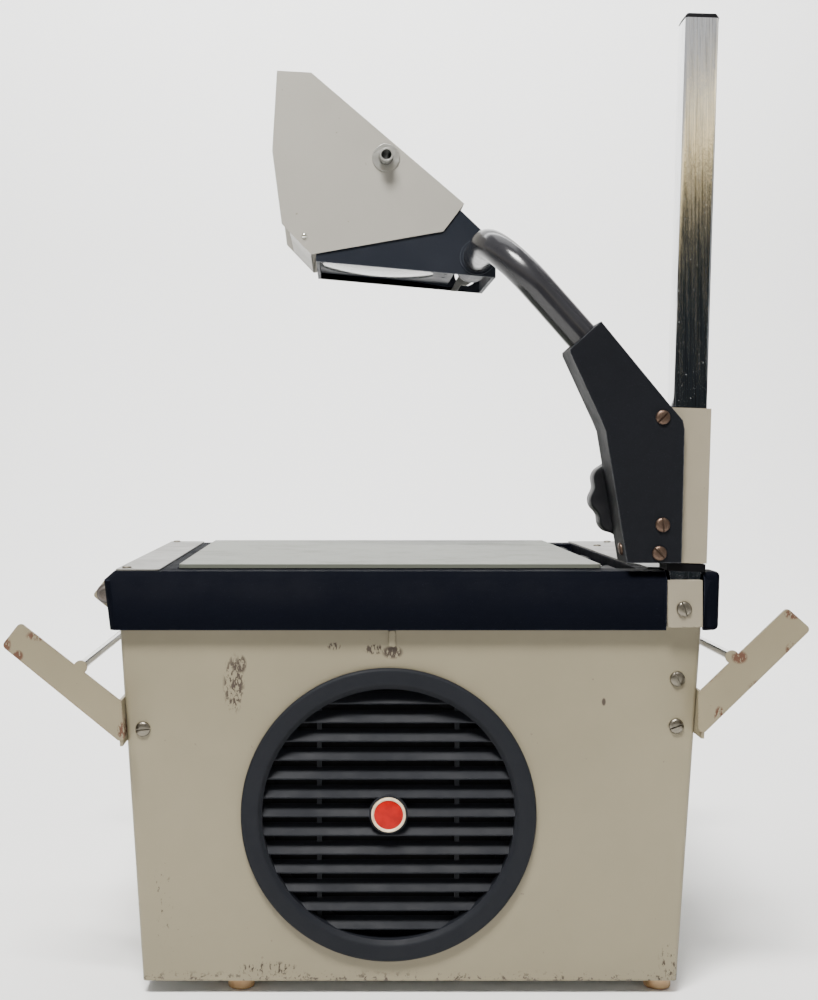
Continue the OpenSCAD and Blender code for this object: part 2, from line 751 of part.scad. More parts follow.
module arm_path(r) {
  arm_path_frame() {
    translate([tube_bend - 0.5, 0, 0]) rotate([0, 90, 0]) cylinder(r = r, h = 139 - tube_bend, $fn = 64);
    translate([tube_bend, tube_bend, 0]) rotate([0, 0, 180]) rotate_extrude(angle = 90, $fn = 96)
      translate([tube_bend, 0]) circle(r = r - 0.04, $fn = 64);
    translate([0, tube_bend - 0.5, 0]) rotate([-90, 0, 0])
      cylinder(r = r, h = 154.5 - tube_bend, $fn = 64);
  }
}

module arm_tube() {
  color([0.1, 0.1, 0.1]) placed() difference() {
    arm_path(tube_r);
    arm_path(tube_r - 1.6);
    arm_path_frame() {
      translate([130, 0, 0]) rotate([0, 90, 0]) cylinder(r = tube_r - 1.7, h = 20, $fn = 64);
      translate([0, 145, 0]) rotate([-90, 0, 0]) cylinder(r = tube_r - 1.7, h = 20, $fn = 64);
    }
  }
}

module pivot_collar() {
  color([0.7, 0.71, 0.72]) placed() {
    y_cyl(tilt_x, tilt_z, -4.9, -2.9, tube_r + 2);
    y_cyl(tilt_x, tilt_z, -20, -4.8, tube_r - 1.7);
    translate([tilt_x, -2.9, tilt_z]) rotate([-90, 0, 0]) slotted_screw(5, 2.4, 2, 1, 30);
  }
}

// ---- Head ----

module cradle() {
  color([0.08, 0.09, 0.11]) placed() difference() {
    union() {
      y_plate(-cradle_hy, -cradle_hy + 3) polygon(cradle_pts);
      y_plate(cradle_hy - 3, cradle_hy) polygon(cradle_pts);
      y_plate(-cradle_hy + 0.1, cradle_hy - 0.1) polygon([
        [65.2, 490.4], [67.7, 490.1], [67.7, 500], [58.6, 523.5], [41.2, 540.1],
        [39.4, 538.3], [56.4, 522.1], [65.2, 499.6]
      ]);
      cradle_frame() block([0, -cradle_hy + 1, 0.1], [2.4, cradle_hy - 1, 7.4]);
      y_cyl(tilt_x, tilt_z, -55, -5, 13);
    }
    y_cyl(tilt_x, tilt_z, -60, 0, tube_r + 0.06);
    y_cyl(tilt_x, tilt_z, -5, 2.5, tube_r + 2.4);
    y_cyl(tilt_x, tilt_z, 30, 60, 9);
  }
}

module lens_board() {
  color([0.08, 0.09, 0.1]) placed() cradle_frame() difference() {
    union() {
      block([2.5, -cradle_hy + 3.05, 4.5], [104, cradle_hy - 3.05, 7.5]);
      for (j = [-1, 1])
        block([2.5, j * (cradle_hy - 4.05) - 1, 7], [104, j * (cradle_hy - 4.05) + 1, 14]);
      block([101.6, -cradle_hy + 3.05, 4.5], [104, cradle_hy - 3.05, 12]);
    }
    translate([lens_x, 0, 0]) cylinder(r = lens_r + 0.3, h = 20, $fn = 96);
    for (y = [-10, 10]) translate([98, y, 0]) cylinder(r = 1.6, h = 20, $fn = 32);
  }
}

module projection_lens() {
  color([0.82, 0.88, 0.88]) placed() cradle_frame() translate([lens_x, 0, 5]) rotate_extrude($fn = 96)
    polygon(concat(
      [[0, -4]],
      [for (k = [1:6]) [lens_r * k / 6, -4 * (1 - k * k / 36)]],
      [for (k = [6:-1:1]) [lens_r * k / 6, 4.5 + 7 * (1 - k * k / 36)]],
      [[0, 11.5]]
    ));
}

module lens_ring() {
  color([0.06, 0.06, 0.07]) placed() cradle_frame() translate([lens_x, 0, 7.6]) difference() {
    union() {
      rotate_extrude($fn = 96) polygon([
        [lens_r + 0.2, 0], [lens_r + 2.4, 0], [lens_r + 2.4, 4], [lens_r - 2, 4],
        [lens_r - 2, 3], [lens_r + 0.2, 3]
      ]);
    }
    for (a = [0:120:240]) rotate([0, 0, a]) block([lens_r - 4, -1, 3.2], [lens_r + 4, 1, 5]);
  }
}

module head_housing() {
  hy = head_w / 2;
  color([0.68, 0.67, 0.64]) placed() difference() {
    y_plate(-hy, hy) polygon(head_pts);
    y_plate(-hy + head_t, hy - head_t) union() {
      offset(delta = -head_t) polygon(head_pts);
      polygon(head_open_pts);
    }
    y_cyl(mirror_x, mirror_z, -hy - 1, hy + 1, journal_r + 0.2);
    y_cyl(rivet_x, rivet_z, -hy - 1, hy + 1, 1.3);
  }
}

module front_panel() {
  hy = head_w / 2 - head_t - 0.1;
  color([0.7, 0.69, 0.66]) placed() difference() {
    union() {
      y_plate(-hy, hy) polygon([[-68.4, 507.9], [-83.8, 523.9], [-82.9, 524.8], [-67.5, 508.8]]);
      for (j = [-1, 1]) y_plate(j * (hy - 0.5) - 0.5, j * (hy - 0.5) + 0.5)
        polygon([[-68.4, 507.9], [-83.8, 523.9], [-70, 529], [-66, 520]]);
    }
    y_cyl(rivet_x, rivet_z, -hy - 1, hy + 1, 1.3);
  }
}

module mirror_carrier() {
  half_y = head_w / 2 - head_t - 4;
  color([0.12, 0.12, 0.13]) placed() mirror_frame() difference() {
    union() {
      block([-mirror_l * 0.58, -half_y, -7], [mirror_l * 0.42, half_y, -5.5]);
      for (j = [-1, 1]) block([-12, j * (half_y - 3) - 2.5, -6], [12, j * (half_y - 3) + 2.5, 6.5]);
      for (x = [-mirror_l * 0.58, mirror_l * 0.42 - 1.2])
        block([x, -half_y, -12], [x + 1.2, half_y, -5.5]);
    }
    y_cyl(0, 0, -60, 60, journal_r + 0.05);
  }
}

module mirror() {
  half_y = head_w / 2 - head_t - 5;
  color([0.85, 0.88, 0.9]) placed() mirror_frame()
    block([-mirror_l * 0.58 + 1.5, -half_y, -11], [mirror_l * 0.42 - 1.5, half_y, -7.05]);
}

module mirror_shaft() {
  color([0.7, 0.71, 0.72]) placed() difference() {
    union() {
      y_cyl(mirror_x, mirror_z, -head_w / 2 - 12, -head_w / 2 - 1.2, spindle_r);
      y_cyl(mirror_x, mirror_z, -head_w / 2 - 1.3, head_w / 2 + 3, journal_r);
      y_cyl(mirror_x, mirror_z, head_w / 2 + 0.3, head_w / 2 + 2, 8);
    }
    y_cyl(mirror_x, mirror_z, -head_w / 2 - 13, head_w / 2 + 4, spindle_hole_r);
  }
}

module spindle_washer() {
  hy = head_w / 2;
  color([0.75, 0.75, 0.76]) placed() difference() {
    y_cyl(mirror_x, mirror_z, -hy - 1.2, -hy, 10);
    y_cyl(mirror_x, mirror_z, -hy - 2, -hy + 1, spindle_r + 0.3);
  }
}

module head_rivets() {
  hy = head_w / 2;
  color([0.82, 0.82, 0.8]) placed() for (j = [-1, 1])
    translate([rivet_x, j * hy, rivet_z]) rotate([-90 * j, 0, 0]) rotate_extrude($fn = 48) polygon([
      [0, -3.2], [1.2, -3.2], [1.2, 0], [2.3, 0], [2.1, 0.7], [1.2, 1.3], [0, 1.5]
    ]);
}

// ---- Roll brackets ----

module arm_outline(pts, rod) {
  offset(r = 3, $fn = 32) offset(delta = -3) polygon(pts);
  translate(rod) circle(r = 4.4, $fn = 48);
}

module arm_pair(pts, rod, hub) {
  by = bracket_d / 2;
  difference() {
    union() {
      y_plate(-by, -by + arm_t) arm_outline(pts, rod);
      y_plate(by - arm_t, by) arm_outline(pts, rod);
    }
    y_cyl(rod[0], rod[1], -by + 0.8, by - 0.8, rod_r + 0.02);
    y_cyl(hub[0], hub[1], -by + 0.8, by + 1, 3.06);
  }
}

module front_roll_bracket() {
  by = bracket_d / 2;
  color([0.63, 0.61, 0.55]) placed() {
    arm_pair(front_arm_pts, front_rod, front_hub);
    difference() {
      front_wall(0, 184.5) translate([-14.5, -by + 0.5, 0]) cube([29, 2 * by - 1, arm_t]);
      for (y = web_screw_ys)
        front_wall(y, 184.5) translate([0, 0, -5]) cylinder(r = 2.2, h = 10, $fn = 32);
    }
  }
}

module rear_roll_bracket() {
  by = bracket_d / 2;
  color([0.63, 0.61, 0.55]) placed() {
    arm_pair(rear_arm_pts, rear_rod, rear_hub);
    difference() {
      rear_wall(0, 189.5) translate([-14.5, -by + 0.5, 0]) cube([29, 2 * by - 1, arm_t]);
      for (y = web_screw_ys)
        rear_wall(y, 189.5) translate([0, 0, -5]) cylinder(r = 2.2, h = 10, $fn = 32);
    }
  }
}

module tie_rods() {
  by = bracket_d / 2;
  color([0.8, 0.8, 0.8]) placed() for (p = [front_rod, rear_rod])
    y_cyl(p[0], p[1], -by + 0.9, by - 0.9, rod_r);
}

// Hub on the near arm: a slotted drum with a short stub in the arm
module near_hub(p) {
  by = bracket_d / 2;
  difference() {
    union() {
      y_cyl(p[0], p[1], -by + 0.9, -by + arm_t + 1, 3);
      y_cyl(p[0], p[1], -by + arm_t + 0.3, -by + arm_t + 3.3, hub_r);
      y_cyl(p[0], p[1], -by + arm_t + 3.2, -by + arm_t + 14, 6.4);
    }
    block([p[0] - 4, -by + arm_t + 12.8, p[1] - 0.8], [p[0] + 4, -by + arm_t + 15, p[1] + 0.8]);
  }
}

// Hub on the far arm: its axle passes the arm and carries a knurled button
module far_hub(p) {
  by = bracket_d / 2;
  difference() {
    union() {
      y_cyl(p[0], p[1], by - arm_t - 1, by + 4, 3);
      y_cyl(p[0], p[1], by - arm_t - 3.3, by - arm_t - 0.3, hub_r);
      y_cyl(p[0], p[1], by - arm_t - 14, by - arm_t - 3.2, 6.4);
      y_cyl(p[0], p[1], by + 0.4, by + 14, hub_r - 0.4);
    }
    block([p[0] - 4, by - arm_t - 15, p[1] - 0.8], [p[0] + 4, by - arm_t - 12.8, p[1] + 0.8]);
    for (a = [0:30:330])
      translate([p[0] + 9 * cos(a), by + 1.5, p[1] + 9 * sin(a)]) rotate([-90, 0, 0])
        cylinder(r = 1.2, h = 14, $fn = 24);
  }
}

module hub_front_near() {
  color([0.45, 0.38, 0.3]) placed() near_hub(front_hub);
}

module hub_rear_near() {
  color([0.45, 0.38, 0.3]) placed() near_hub(rear_hub);
}

module hub_front_far() {
  color([0.45, 0.38, 0.3]) placed() far_hub(front_hub);
}

module hub_rear_far() {
  color([0.45, 0.38, 0.3]) placed() far_hub(rear_hub);
}

case_shell();
base_plate();
rubber_feet();
foot_screws();
fan_grille();
grille_badge();
exhaust_grille();
case_screws();
switch_bezel();
switch_rocker();
power_inlet();
stage_frame();
deck_left();
deck_right();
deck_screws();
lid_frame();
stage_glass();
fresnel_lens();
lid_hinge_pin();
lamp_chassis();
lamp_socket();
lamp_bulb();
reflector();
condenser_ring();
condenser_glass();
fan_bracket();
fan_motor();
fan_rotor();
post();
post_cap();
post_socket();
post_bracket();
carriage_channel();
glide_liners();
housing_shell();
housing_cover();
housing_screws();
drive_shaft();
drive_tyre();
focus_knob();
arm_tube();
cradle();
lens_board();
projection_lens();
lens_ring();
pivot_collar();
head_housing();
front_panel();
mirror_carrier();
mirror();
mirror_shaft();
spindle_washer();
head_rivets();
front_roll_bracket();
rear_roll_bracket();
tie_rods();
hub_front_near();
hub_rear_near();
hub_front_far();
hub_rear_far();
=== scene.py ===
import json
import math
import bpy
import bmesh
from mathutils import Vector, Matrix

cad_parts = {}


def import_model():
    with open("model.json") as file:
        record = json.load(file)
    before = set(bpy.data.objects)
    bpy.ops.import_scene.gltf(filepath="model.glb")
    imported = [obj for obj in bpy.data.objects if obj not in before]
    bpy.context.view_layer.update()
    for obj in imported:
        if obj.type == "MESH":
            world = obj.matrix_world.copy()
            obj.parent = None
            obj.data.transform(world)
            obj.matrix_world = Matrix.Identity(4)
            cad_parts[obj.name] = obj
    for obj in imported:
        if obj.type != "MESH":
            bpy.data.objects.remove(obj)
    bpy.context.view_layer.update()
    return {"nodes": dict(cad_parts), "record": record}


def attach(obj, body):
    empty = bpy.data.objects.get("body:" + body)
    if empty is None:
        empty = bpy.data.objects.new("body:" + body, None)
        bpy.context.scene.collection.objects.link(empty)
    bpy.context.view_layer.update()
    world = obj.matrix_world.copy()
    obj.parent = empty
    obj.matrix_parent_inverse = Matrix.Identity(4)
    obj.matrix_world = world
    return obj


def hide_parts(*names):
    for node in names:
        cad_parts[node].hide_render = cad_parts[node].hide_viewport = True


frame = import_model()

RECORD = frame["record"]
BODY = {n: b for b, ns in RECORD["behaviour"]["bodies"].items() for n in ns}
SX, SY = 3.66, -7.0          # case centre in the row frame, mm
OPTIC_X = -15.5              # axis of the lamp, condenser and Fresnel sheet


def P(x, y, z):
    """Case-centred millimetres to the row frame in metres."""
    return Vector(((x + SX) / 1000, (y + SY) / 1000, z / 1000))


# ---------------------------------------------------------------- camera
cam_data = bpy.data.cameras.new("camera")
cam = bpy.data.objects.new("camera", cam_data)
bpy.context.scene.collection.objects.link(cam)
cam.location = P(-46.7, -1148, 357.5)
cam.rotation_euler = (math.radians(90), 0, 0)
cam_data.sensor_width = 36
cam_data.lens = 53.64
cam_data.shift_x = 0.069
cam_data.shift_y = -0.042
cam_data.clip_start = 0.02
bpy.context.scene.camera = cam


# ---------------------------------------------------------------- materials
def lin(r, g, b):
    """Display colour of 0 to 255 a channel to a linear colour with alpha."""
    def channel(c):
        return (c / 255) / 12.92 if c <= 10 else ((c / 255 + 0.055) / 1.055) ** 2.4
    return (channel(r), channel(g), channel(b), 1)


def shade(color, gain):
    """The same colour, darker or lighter."""
    return tuple(min(1, c * gain) for c in color[:3]) + (1,)


class Mat:
    """Small helper that builds one procedural material."""

    def __init__(self, name):
        self.m = bpy.data.materials.new(name)
        self.m.use_nodes = True
        self.t = self.m.node_tree
        self.bsdf = self.t.nodes["Principled BSDF"]
        self.coord = self.t.nodes.new("ShaderNodeTexCoord").outputs["Object"]

    def link(self, socket, v):
        if isinstance(v, bpy.types.NodeSocket):
            self.t.links.new(v, socket)
        else:
            socket.default_value = v

    def scaled(self, sx, sy, sz):
        n = self.t.nodes.new("ShaderNodeMapping")
        self.t.links.new(self.coord, n.inputs["Vector"])
        n.inputs["Scale"].default_value = (sx, sy, sz)
        return n.outputs["Vector"]

    def noise(self, scale, detail=4, rough=0.6, vec=None):
        n = self.t.nodes.new("ShaderNodeTexNoise")
        self.t.links.new(vec if vec else self.coord, n.inputs["Vector"])
        n.inputs["Scale"].default_value = scale
        n.inputs["Detail"].default_value = detail
        n.inputs["Roughness"].default_value = rough
        return n.outputs["Fac"]

    def ramp(self, fac, lo, hi, a=0.0, b=1.0):
        n = self.t.nodes.new("ShaderNodeMapRange")
        n.interpolation_type = "SMOOTHSTEP"
        self.link(n.inputs["Value"], fac)
        n.inputs["From Min"].default_value = lo
        n.inputs["From Max"].default_value = hi
        n.inputs["To Min"].default_value = a
        n.inputs["To Max"].default_value = b
        return n.outputs["Result"]

    def math(self, op, a, b=0.0):
        n = self.t.nodes.new("ShaderNodeMath")
        n.operation = op
        self.link(n.inputs[0], a)
        self.link(n.inputs[1], b)
        return n.outputs[0]

    def mix(self, fac, a, b):
        n = self.t.nodes.new("ShaderNodeMix")
        n.data_type = "RGBA"
        self.link(n.inputs["Factor"], fac)
        self.link(n.inputs[6], a)
        self.link(n.inputs[7], b)
        return n.outputs[2]

    def xyz(self):
        n = self.t.nodes.new("ShaderNodeSeparateXYZ")
        self.t.links.new(self.coord, n.inputs[0])
        return n.outputs

    def edge(self, radius):
        """1 on convex and concave edges, 0 on flats."""
        bev = self.t.nodes.new("ShaderNodeBevel")
        bev.samples = 4
        bev.inputs["Radius"].default_value = radius
        geo = self.t.nodes.new("ShaderNodeNewGeometry")
        dot = self.t.nodes.new("ShaderNodeVectorMath")
        dot.operation = "DOT_PRODUCT"
        self.t.links.new(bev.outputs["Normal"], dot.inputs[0])
        self.t.links.new(geo.outputs["Normal"], dot.inputs[1])
        return self.ramp(dot.outputs["Value"], 0.995, 0.80)

    def spot(self, cx, cz, rx, rz):
        """1 inside an ellipse in x and z on the fan side, given in case-centred mm."""
        o = self.xyz()
        c = P(cx, 0, cz)
        dx = self.math("MULTIPLY", self.math("SUBTRACT", o[0], c.x), 1000 / rx)
        dz = self.math("MULTIPLY", self.math("SUBTRACT", o[2], c.z), 1000 / rz)
        d = self.math("ADD", self.math("MULTIPLY", dx, dx), self.math("MULTIPLY", dz, dz))
        fan_side = self.ramp(o[1], P(0, -146, 0).y, P(0, -151, 0).y)
        return self.math("MULTIPLY", self.ramp(d, 1.0, 0.3), fan_side)

    def bump(self, height, strength, dist=0.001, normal=None):
        n = self.t.nodes.new("ShaderNodeBump")
        n.inputs["Strength"].default_value = strength
        n.inputs["Distance"].default_value = dist
        self.link(n.inputs["Height"], height)
        if normal is not None:
            self.t.links.new(normal, n.inputs["Normal"])
        return n.outputs["Normal"]

    def out(self, color=None, rough=None, normal=None, **fixed):
        if color is not None:
            self.link(self.bsdf.inputs["Base Color"], color)
        if rough is not None:
            self.link(self.bsdf.inputs["Roughness"], rough)
        if normal is not None:
            self.t.links.new(normal, self.bsdf.inputs["Normal"])
        for k, v in fixed.items():
            self.bsdf.inputs[k.replace("_", " ")].default_value = v
        return self.m


def enamel(name, rgb, chip=(92, 66, 48), chip_edge=0.5, scuffs=(), low_wear_and_shade=False, rough=0.42, grime=0.08):
    """Baked enamel on sheet steel: faint orange peel, soft grime, chips along edges; optionally also chips and
    painted shade towards the bottom.
    """
    k = Mat(name)
    base = lin(*rgb)
    dark = shade(base, 1 - grime * 2.2)
    light = shade(base, 1 + grime * 0.6)
    col = k.mix(k.ramp(k.noise(5, 5, 0.6), 0.30, 0.70), dark, light)
    col = k.mix(k.ramp(k.noise(1800, 2, 0.5), 0.55, 0.75, 0, 0.10), col, dark)
    streak = k.ramp(k.noise(9, 6, 0.75, k.scaled(3.5, 3.5, 60)), 0.62, 0.78, 0, 0.22)
    col = k.mix(streak, col, light)
    fine = k.ramp(k.noise(230, 3, 0.5), 0.735, 0.76, 0, 0.75)
    col = k.mix(fine, col, lin(110, 98, 82))
    edge = k.edge(0.0016)
    ragged = k.noise(420, 4, 0.7)
    patch = k.ramp(k.noise(55, 2, 0.5), 0.50 - chip_edge * 0.12, 0.62)
    chips = k.math("MULTIPLY", k.math("MULTIPLY", edge, patch), k.ramp(ragged, 0.50, 0.56))
    for (cx, cz, rx, rz, thr) in scuffs:
        z = k.spot(cx, cz, rx, rz)
        g = k.ramp(k.noise(300, 4, 0.7, k.scaled(1.7, 1, 0.7)), thr, thr + 0.03)
        chips = k.math("MAXIMUM", chips, k.math("MULTIPLY", z, g))
    # chips low down are wear; the darkening towards the bottom is painted shade near the floor
    if low_wear_and_shade:
        o = k.xyz()
        near_low = k.ramp(o[2], 0.0175, 0.0095)
        g = k.ramp(k.noise(300, 4, 0.75), 0.56, 0.60)
        chips = k.math("MAXIMUM", chips, k.math("MULTIPLY", near_low, g))
        col = k.mix(k.ramp(o[2], 0.03, 0.009, 0, 0.25), col, dark)
    col = k.mix(chips, col, lin(*chip))
    rub = k.math("MULTIPLY", edge, k.ramp(ragged, 0.35, 0.75, 0.15, 0.7))
    col = k.mix(k.math("MULTIPLY", rub, 0.35), col, shade(base, 1.35))
    r = k.ramp(k.noise(14, 5, 0.7), 0.3, 0.75, rough - 0.06, rough + 0.10)
    r = k.math("ADD", r, k.math("MULTIPLY", chips, 0.3))
    n = k.bump(k.noise(700, 2, 0.5), 0.10, 0.0002)
    n = k.bump(k.math("MULTIPLY", chips, -1), 0.6, 0.00025, n)
    return k.out(col, r, n, Specular_IOR_Level=0.45)


def moulding(name, rgb, worn, rough=0.50, grain=0.12, spec=0.25, dust=0.05, edge_gain=0.6):
    """Dark moulded plastic or stove-black: fine grain, dust, rubbed edges."""
    k = Mat(name)
    base, wear = lin(*rgb), lin(*worn)
    col = k.mix(k.ramp(k.noise(11, 5, 0.65), 0.35, 0.75, 0, 0.35), base, shade(base, 1.35))
    col = k.mix(k.ramp(k.noise(2200, 2, 0.5), 0.64, 0.74, 0, dust * 2.2), col, wear)
    scr = k.ramp(k.noise(60, 5, 0.8, k.scaled(1, 1, 7)), 0.715, 0.735, 0, 0.35)
    col = k.mix(scr, col, wear)
    edge = k.edge(0.0010)
    e = k.math("MULTIPLY", edge, k.ramp(k.noise(160, 4, 0.7), 0.30, 0.70, edge_gain * 0.35, edge_gain))
    col = k.mix(e, col, wear)
    r = k.ramp(k.noise(24, 5, 0.7), 0.3, 0.75, rough - 0.07, rough + 0.12)
    n = k.bump(k.noise(1500, 3, 0.6), grain, 0.0003)
    return k.out(col, r, n, Specular_IOR_Level=spec)


def metal(name, rgb, rough=0.25, grain=(1, 1, 1), grime=(60, 55, 48), grime_gain=0.5, bump=0.05):
    """Bare or plated metal with directional fine lines and tarnish in patches."""
    k = Mat(name)
    base = lin(*rgb)
    lines = k.noise(140, 6, 0.75, k.scaled(*grain))
    col = k.mix(k.ramp(lines, 0.3, 0.8, 0, 0.35), base, shade(base, 0.72))
    spots = k.ramp(k.noise(420, 5, 0.75), 0.60, 0.70, 0, grime_gain)
    col = k.mix(spots, col, lin(*grime))
    r = k.ramp(lines, 0.25, 0.8, rough * 0.75, rough * 1.5)
    n = k.bump(lines, bump, 0.0002)
    return k.out(col, r, n, Metallic=1.0)


def chrome(name):
    k = Mat(name)
    base = lin(226, 228, 230)
    lines = k.noise(60, 6, 0.8, k.scaled(9, 9, 0.35))
    streaks = k.noise(60, 5, 0.75, k.scaled(11, 11, 0.22))
    col = k.mix(k.ramp(streaks, 0.46, 0.66, 0, 0.42), base, lin(120, 116, 108))
    fine = k.noise(90, 6, 0.8, k.scaled(24, 24, 0.5))
    col = k.mix(k.ramp(fine, 0.55, 0.7, 0, 0.4), col, lin(150, 148, 142))
    pit = k.ramp(k.noise(520, 4, 0.75), 0.64, 0.69, 0, 0.8)
    col = k.mix(pit, col, lin(176, 180, 184))
    wave = k.noise(60, 5, 0.7, k.scaled(7, 7, 1.8))
    r = k.math("ADD", k.ramp(lines, 0.3, 0.75, 0.05, 0.16), k.math("MULTIPLY", pit, 0.4))
    n = k.bump(wave, 0.08, 0.0006)
    return k.out(col, r, n, Metallic=1.0)


def clear_glass(name, rgb=(236, 242, 240), rough=0.02, transmission=1.0, smear=0.05, spec=0.5):
    k = Mat(name)
    r = k.ramp(k.noise(22, 6, 0.75), 0.45, 0.8, rough, rough + smear)
    col = k.mix(k.ramp(k.noise(700, 3, 0.6), 0.70, 0.74, 0, 0.4), lin(*rgb), lin(200, 200, 195))
    return k.out(col, r, None, Transmission_Weight=transmission, IOR=1.5, Specular_IOR_Level=spec)


# Scuffs on the fan side: centre and half size in x and z in case-centred mm, and how sparse the marks are
CASE_SCUFFS = (
    (-117, 208, 8, 22, 0.50), (-112, 221, 4, 7, 0.44), (-12, 229, 8, 5, 0.44), (-24, 231, 8, 4, 0.50),
    (-50, 233, 6, 3, 0.50), (176, 22, 12, 16, 0.56), (-165, 60, 8, 30, 0.62), (-95, 17, 24, 6, 0.57),
    (128, 196, 1.6, 3, 0.40),
)
BRACKET_SCUFFS = (
    (-242, 242, 10, 4, 0.45), (-264, 236, 4, 6, 0.42), (-256, 229, 4, 4, 0.42), (-188, 180, 4, 7, 0.48),
    (228, 209, 10, 5, 0.46), (213, 228, 6, 5, 0.42), (247, 232, 5, 6, 0.46), (248, 256, 7, 4, 0.46),
    (200, 190, 4, 7, 0.48),
)
MATS = {
    "case": enamel("case_enamel", (131, 123, 101), chip=(62, 52, 44), scuffs=CASE_SCUFFS, low_wear_and_shade=True,
                   grime=0.05),
    "bracket": enamel("bracket_enamel", (130, 121, 98), chip=(84, 54, 38), chip_edge=1.0,
                      scuffs=BRACKET_SCUFFS, grime=0.06),
    "carriage": enamel("carriage_enamel", (140, 132, 114), chip=(84, 66, 52), grime=0.05),
    "head": enamel("head_enamel", (152, 149, 141), chip=(120, 112, 100), chip_edge=0.2, grime=0.03, rough=0.40),
    "deck": enamel("deck_enamel", (104, 103, 98), chip=(110, 104, 96), chip_edge=0.2, grime=0.04),
    "frame": moulding("frame_black", (7, 9, 16), (70, 74, 86), rough=0.66, grain=0.08, spec=0.02,
                      edge_gain=0.7),
    "housing": moulding("housing_black", (11, 13, 18), (104, 106, 110), rough=0.6, grain=0.10, spec=0.12,
                        edge_gain=0.8),
    "grille": moulding("grille_black", (22, 24, 29), (70, 72, 78), rough=0.6, grain=0.10, spec=0.15,
                       edge_gain=0.4),
    "knob": moulding("knob_black", (12, 13, 17), (54, 56, 62), rough=0.45, grain=0.06, spec=0.2, edge_gain=0.3),
    "cradle": moulding("cradle_black", (21, 25, 33), (86, 90, 98), spec=0.18),
    "tube": moulding("tube_black", (33, 33, 36), (66, 66, 70), rough=0.16, grain=0.02, spec=0.5, dust=0.02,
                     edge_gain=0.1),
    # near-black finish; on the fan and other parts inside the case it is kept this dark also as painted shade
    # there
    "inner": moulding("inner_black", (8, 8, 10), (40, 40, 44), rough=0.65, spec=0.06, edge_gain=0.3),
    "chrome": chrome("post_chrome"),
    "nickel": metal("screw_nickel", (120, 115, 104), 0.32, (3, 3, 3), (70, 62, 50), 0.6, 0.10),
    "bronze": metal("screw_bronze", (92, 76, 66), 0.42, (3, 3, 3), (40, 30, 26), 0.6, 0.12),
    "zinc": metal("zinc_plate", (176, 176, 172), 0.36, (2, 2, 2), (110, 106, 98), 0.35, 0.08),
    "rod": metal("bright_rod", (214, 214, 212), 0.16, (6, 0.6, 6), (120, 116, 108), 0.3, 0.05),
    "alu": metal("mill_aluminium", (190, 192, 194), 0.30, (1, 12, 1), (120, 120, 118), 0.25, 0.05),
    "rivet": metal("rivet_bright", (232, 232, 226), 0.14, (4, 4, 4), (130, 124, 112), 0.25, 0.04),
    "glass": clear_glass("stage_glass", (112, 115, 106), 0.42, 0.20, 0.15, 0.08),
    "lens": clear_glass("lens_glass", (186, 188, 184), 0.08, 0.45, 0.10, 0.5),
    "bulb": clear_glass("bulb_glass", (245, 245, 245), 0.01, 1.0, 0.02),
}


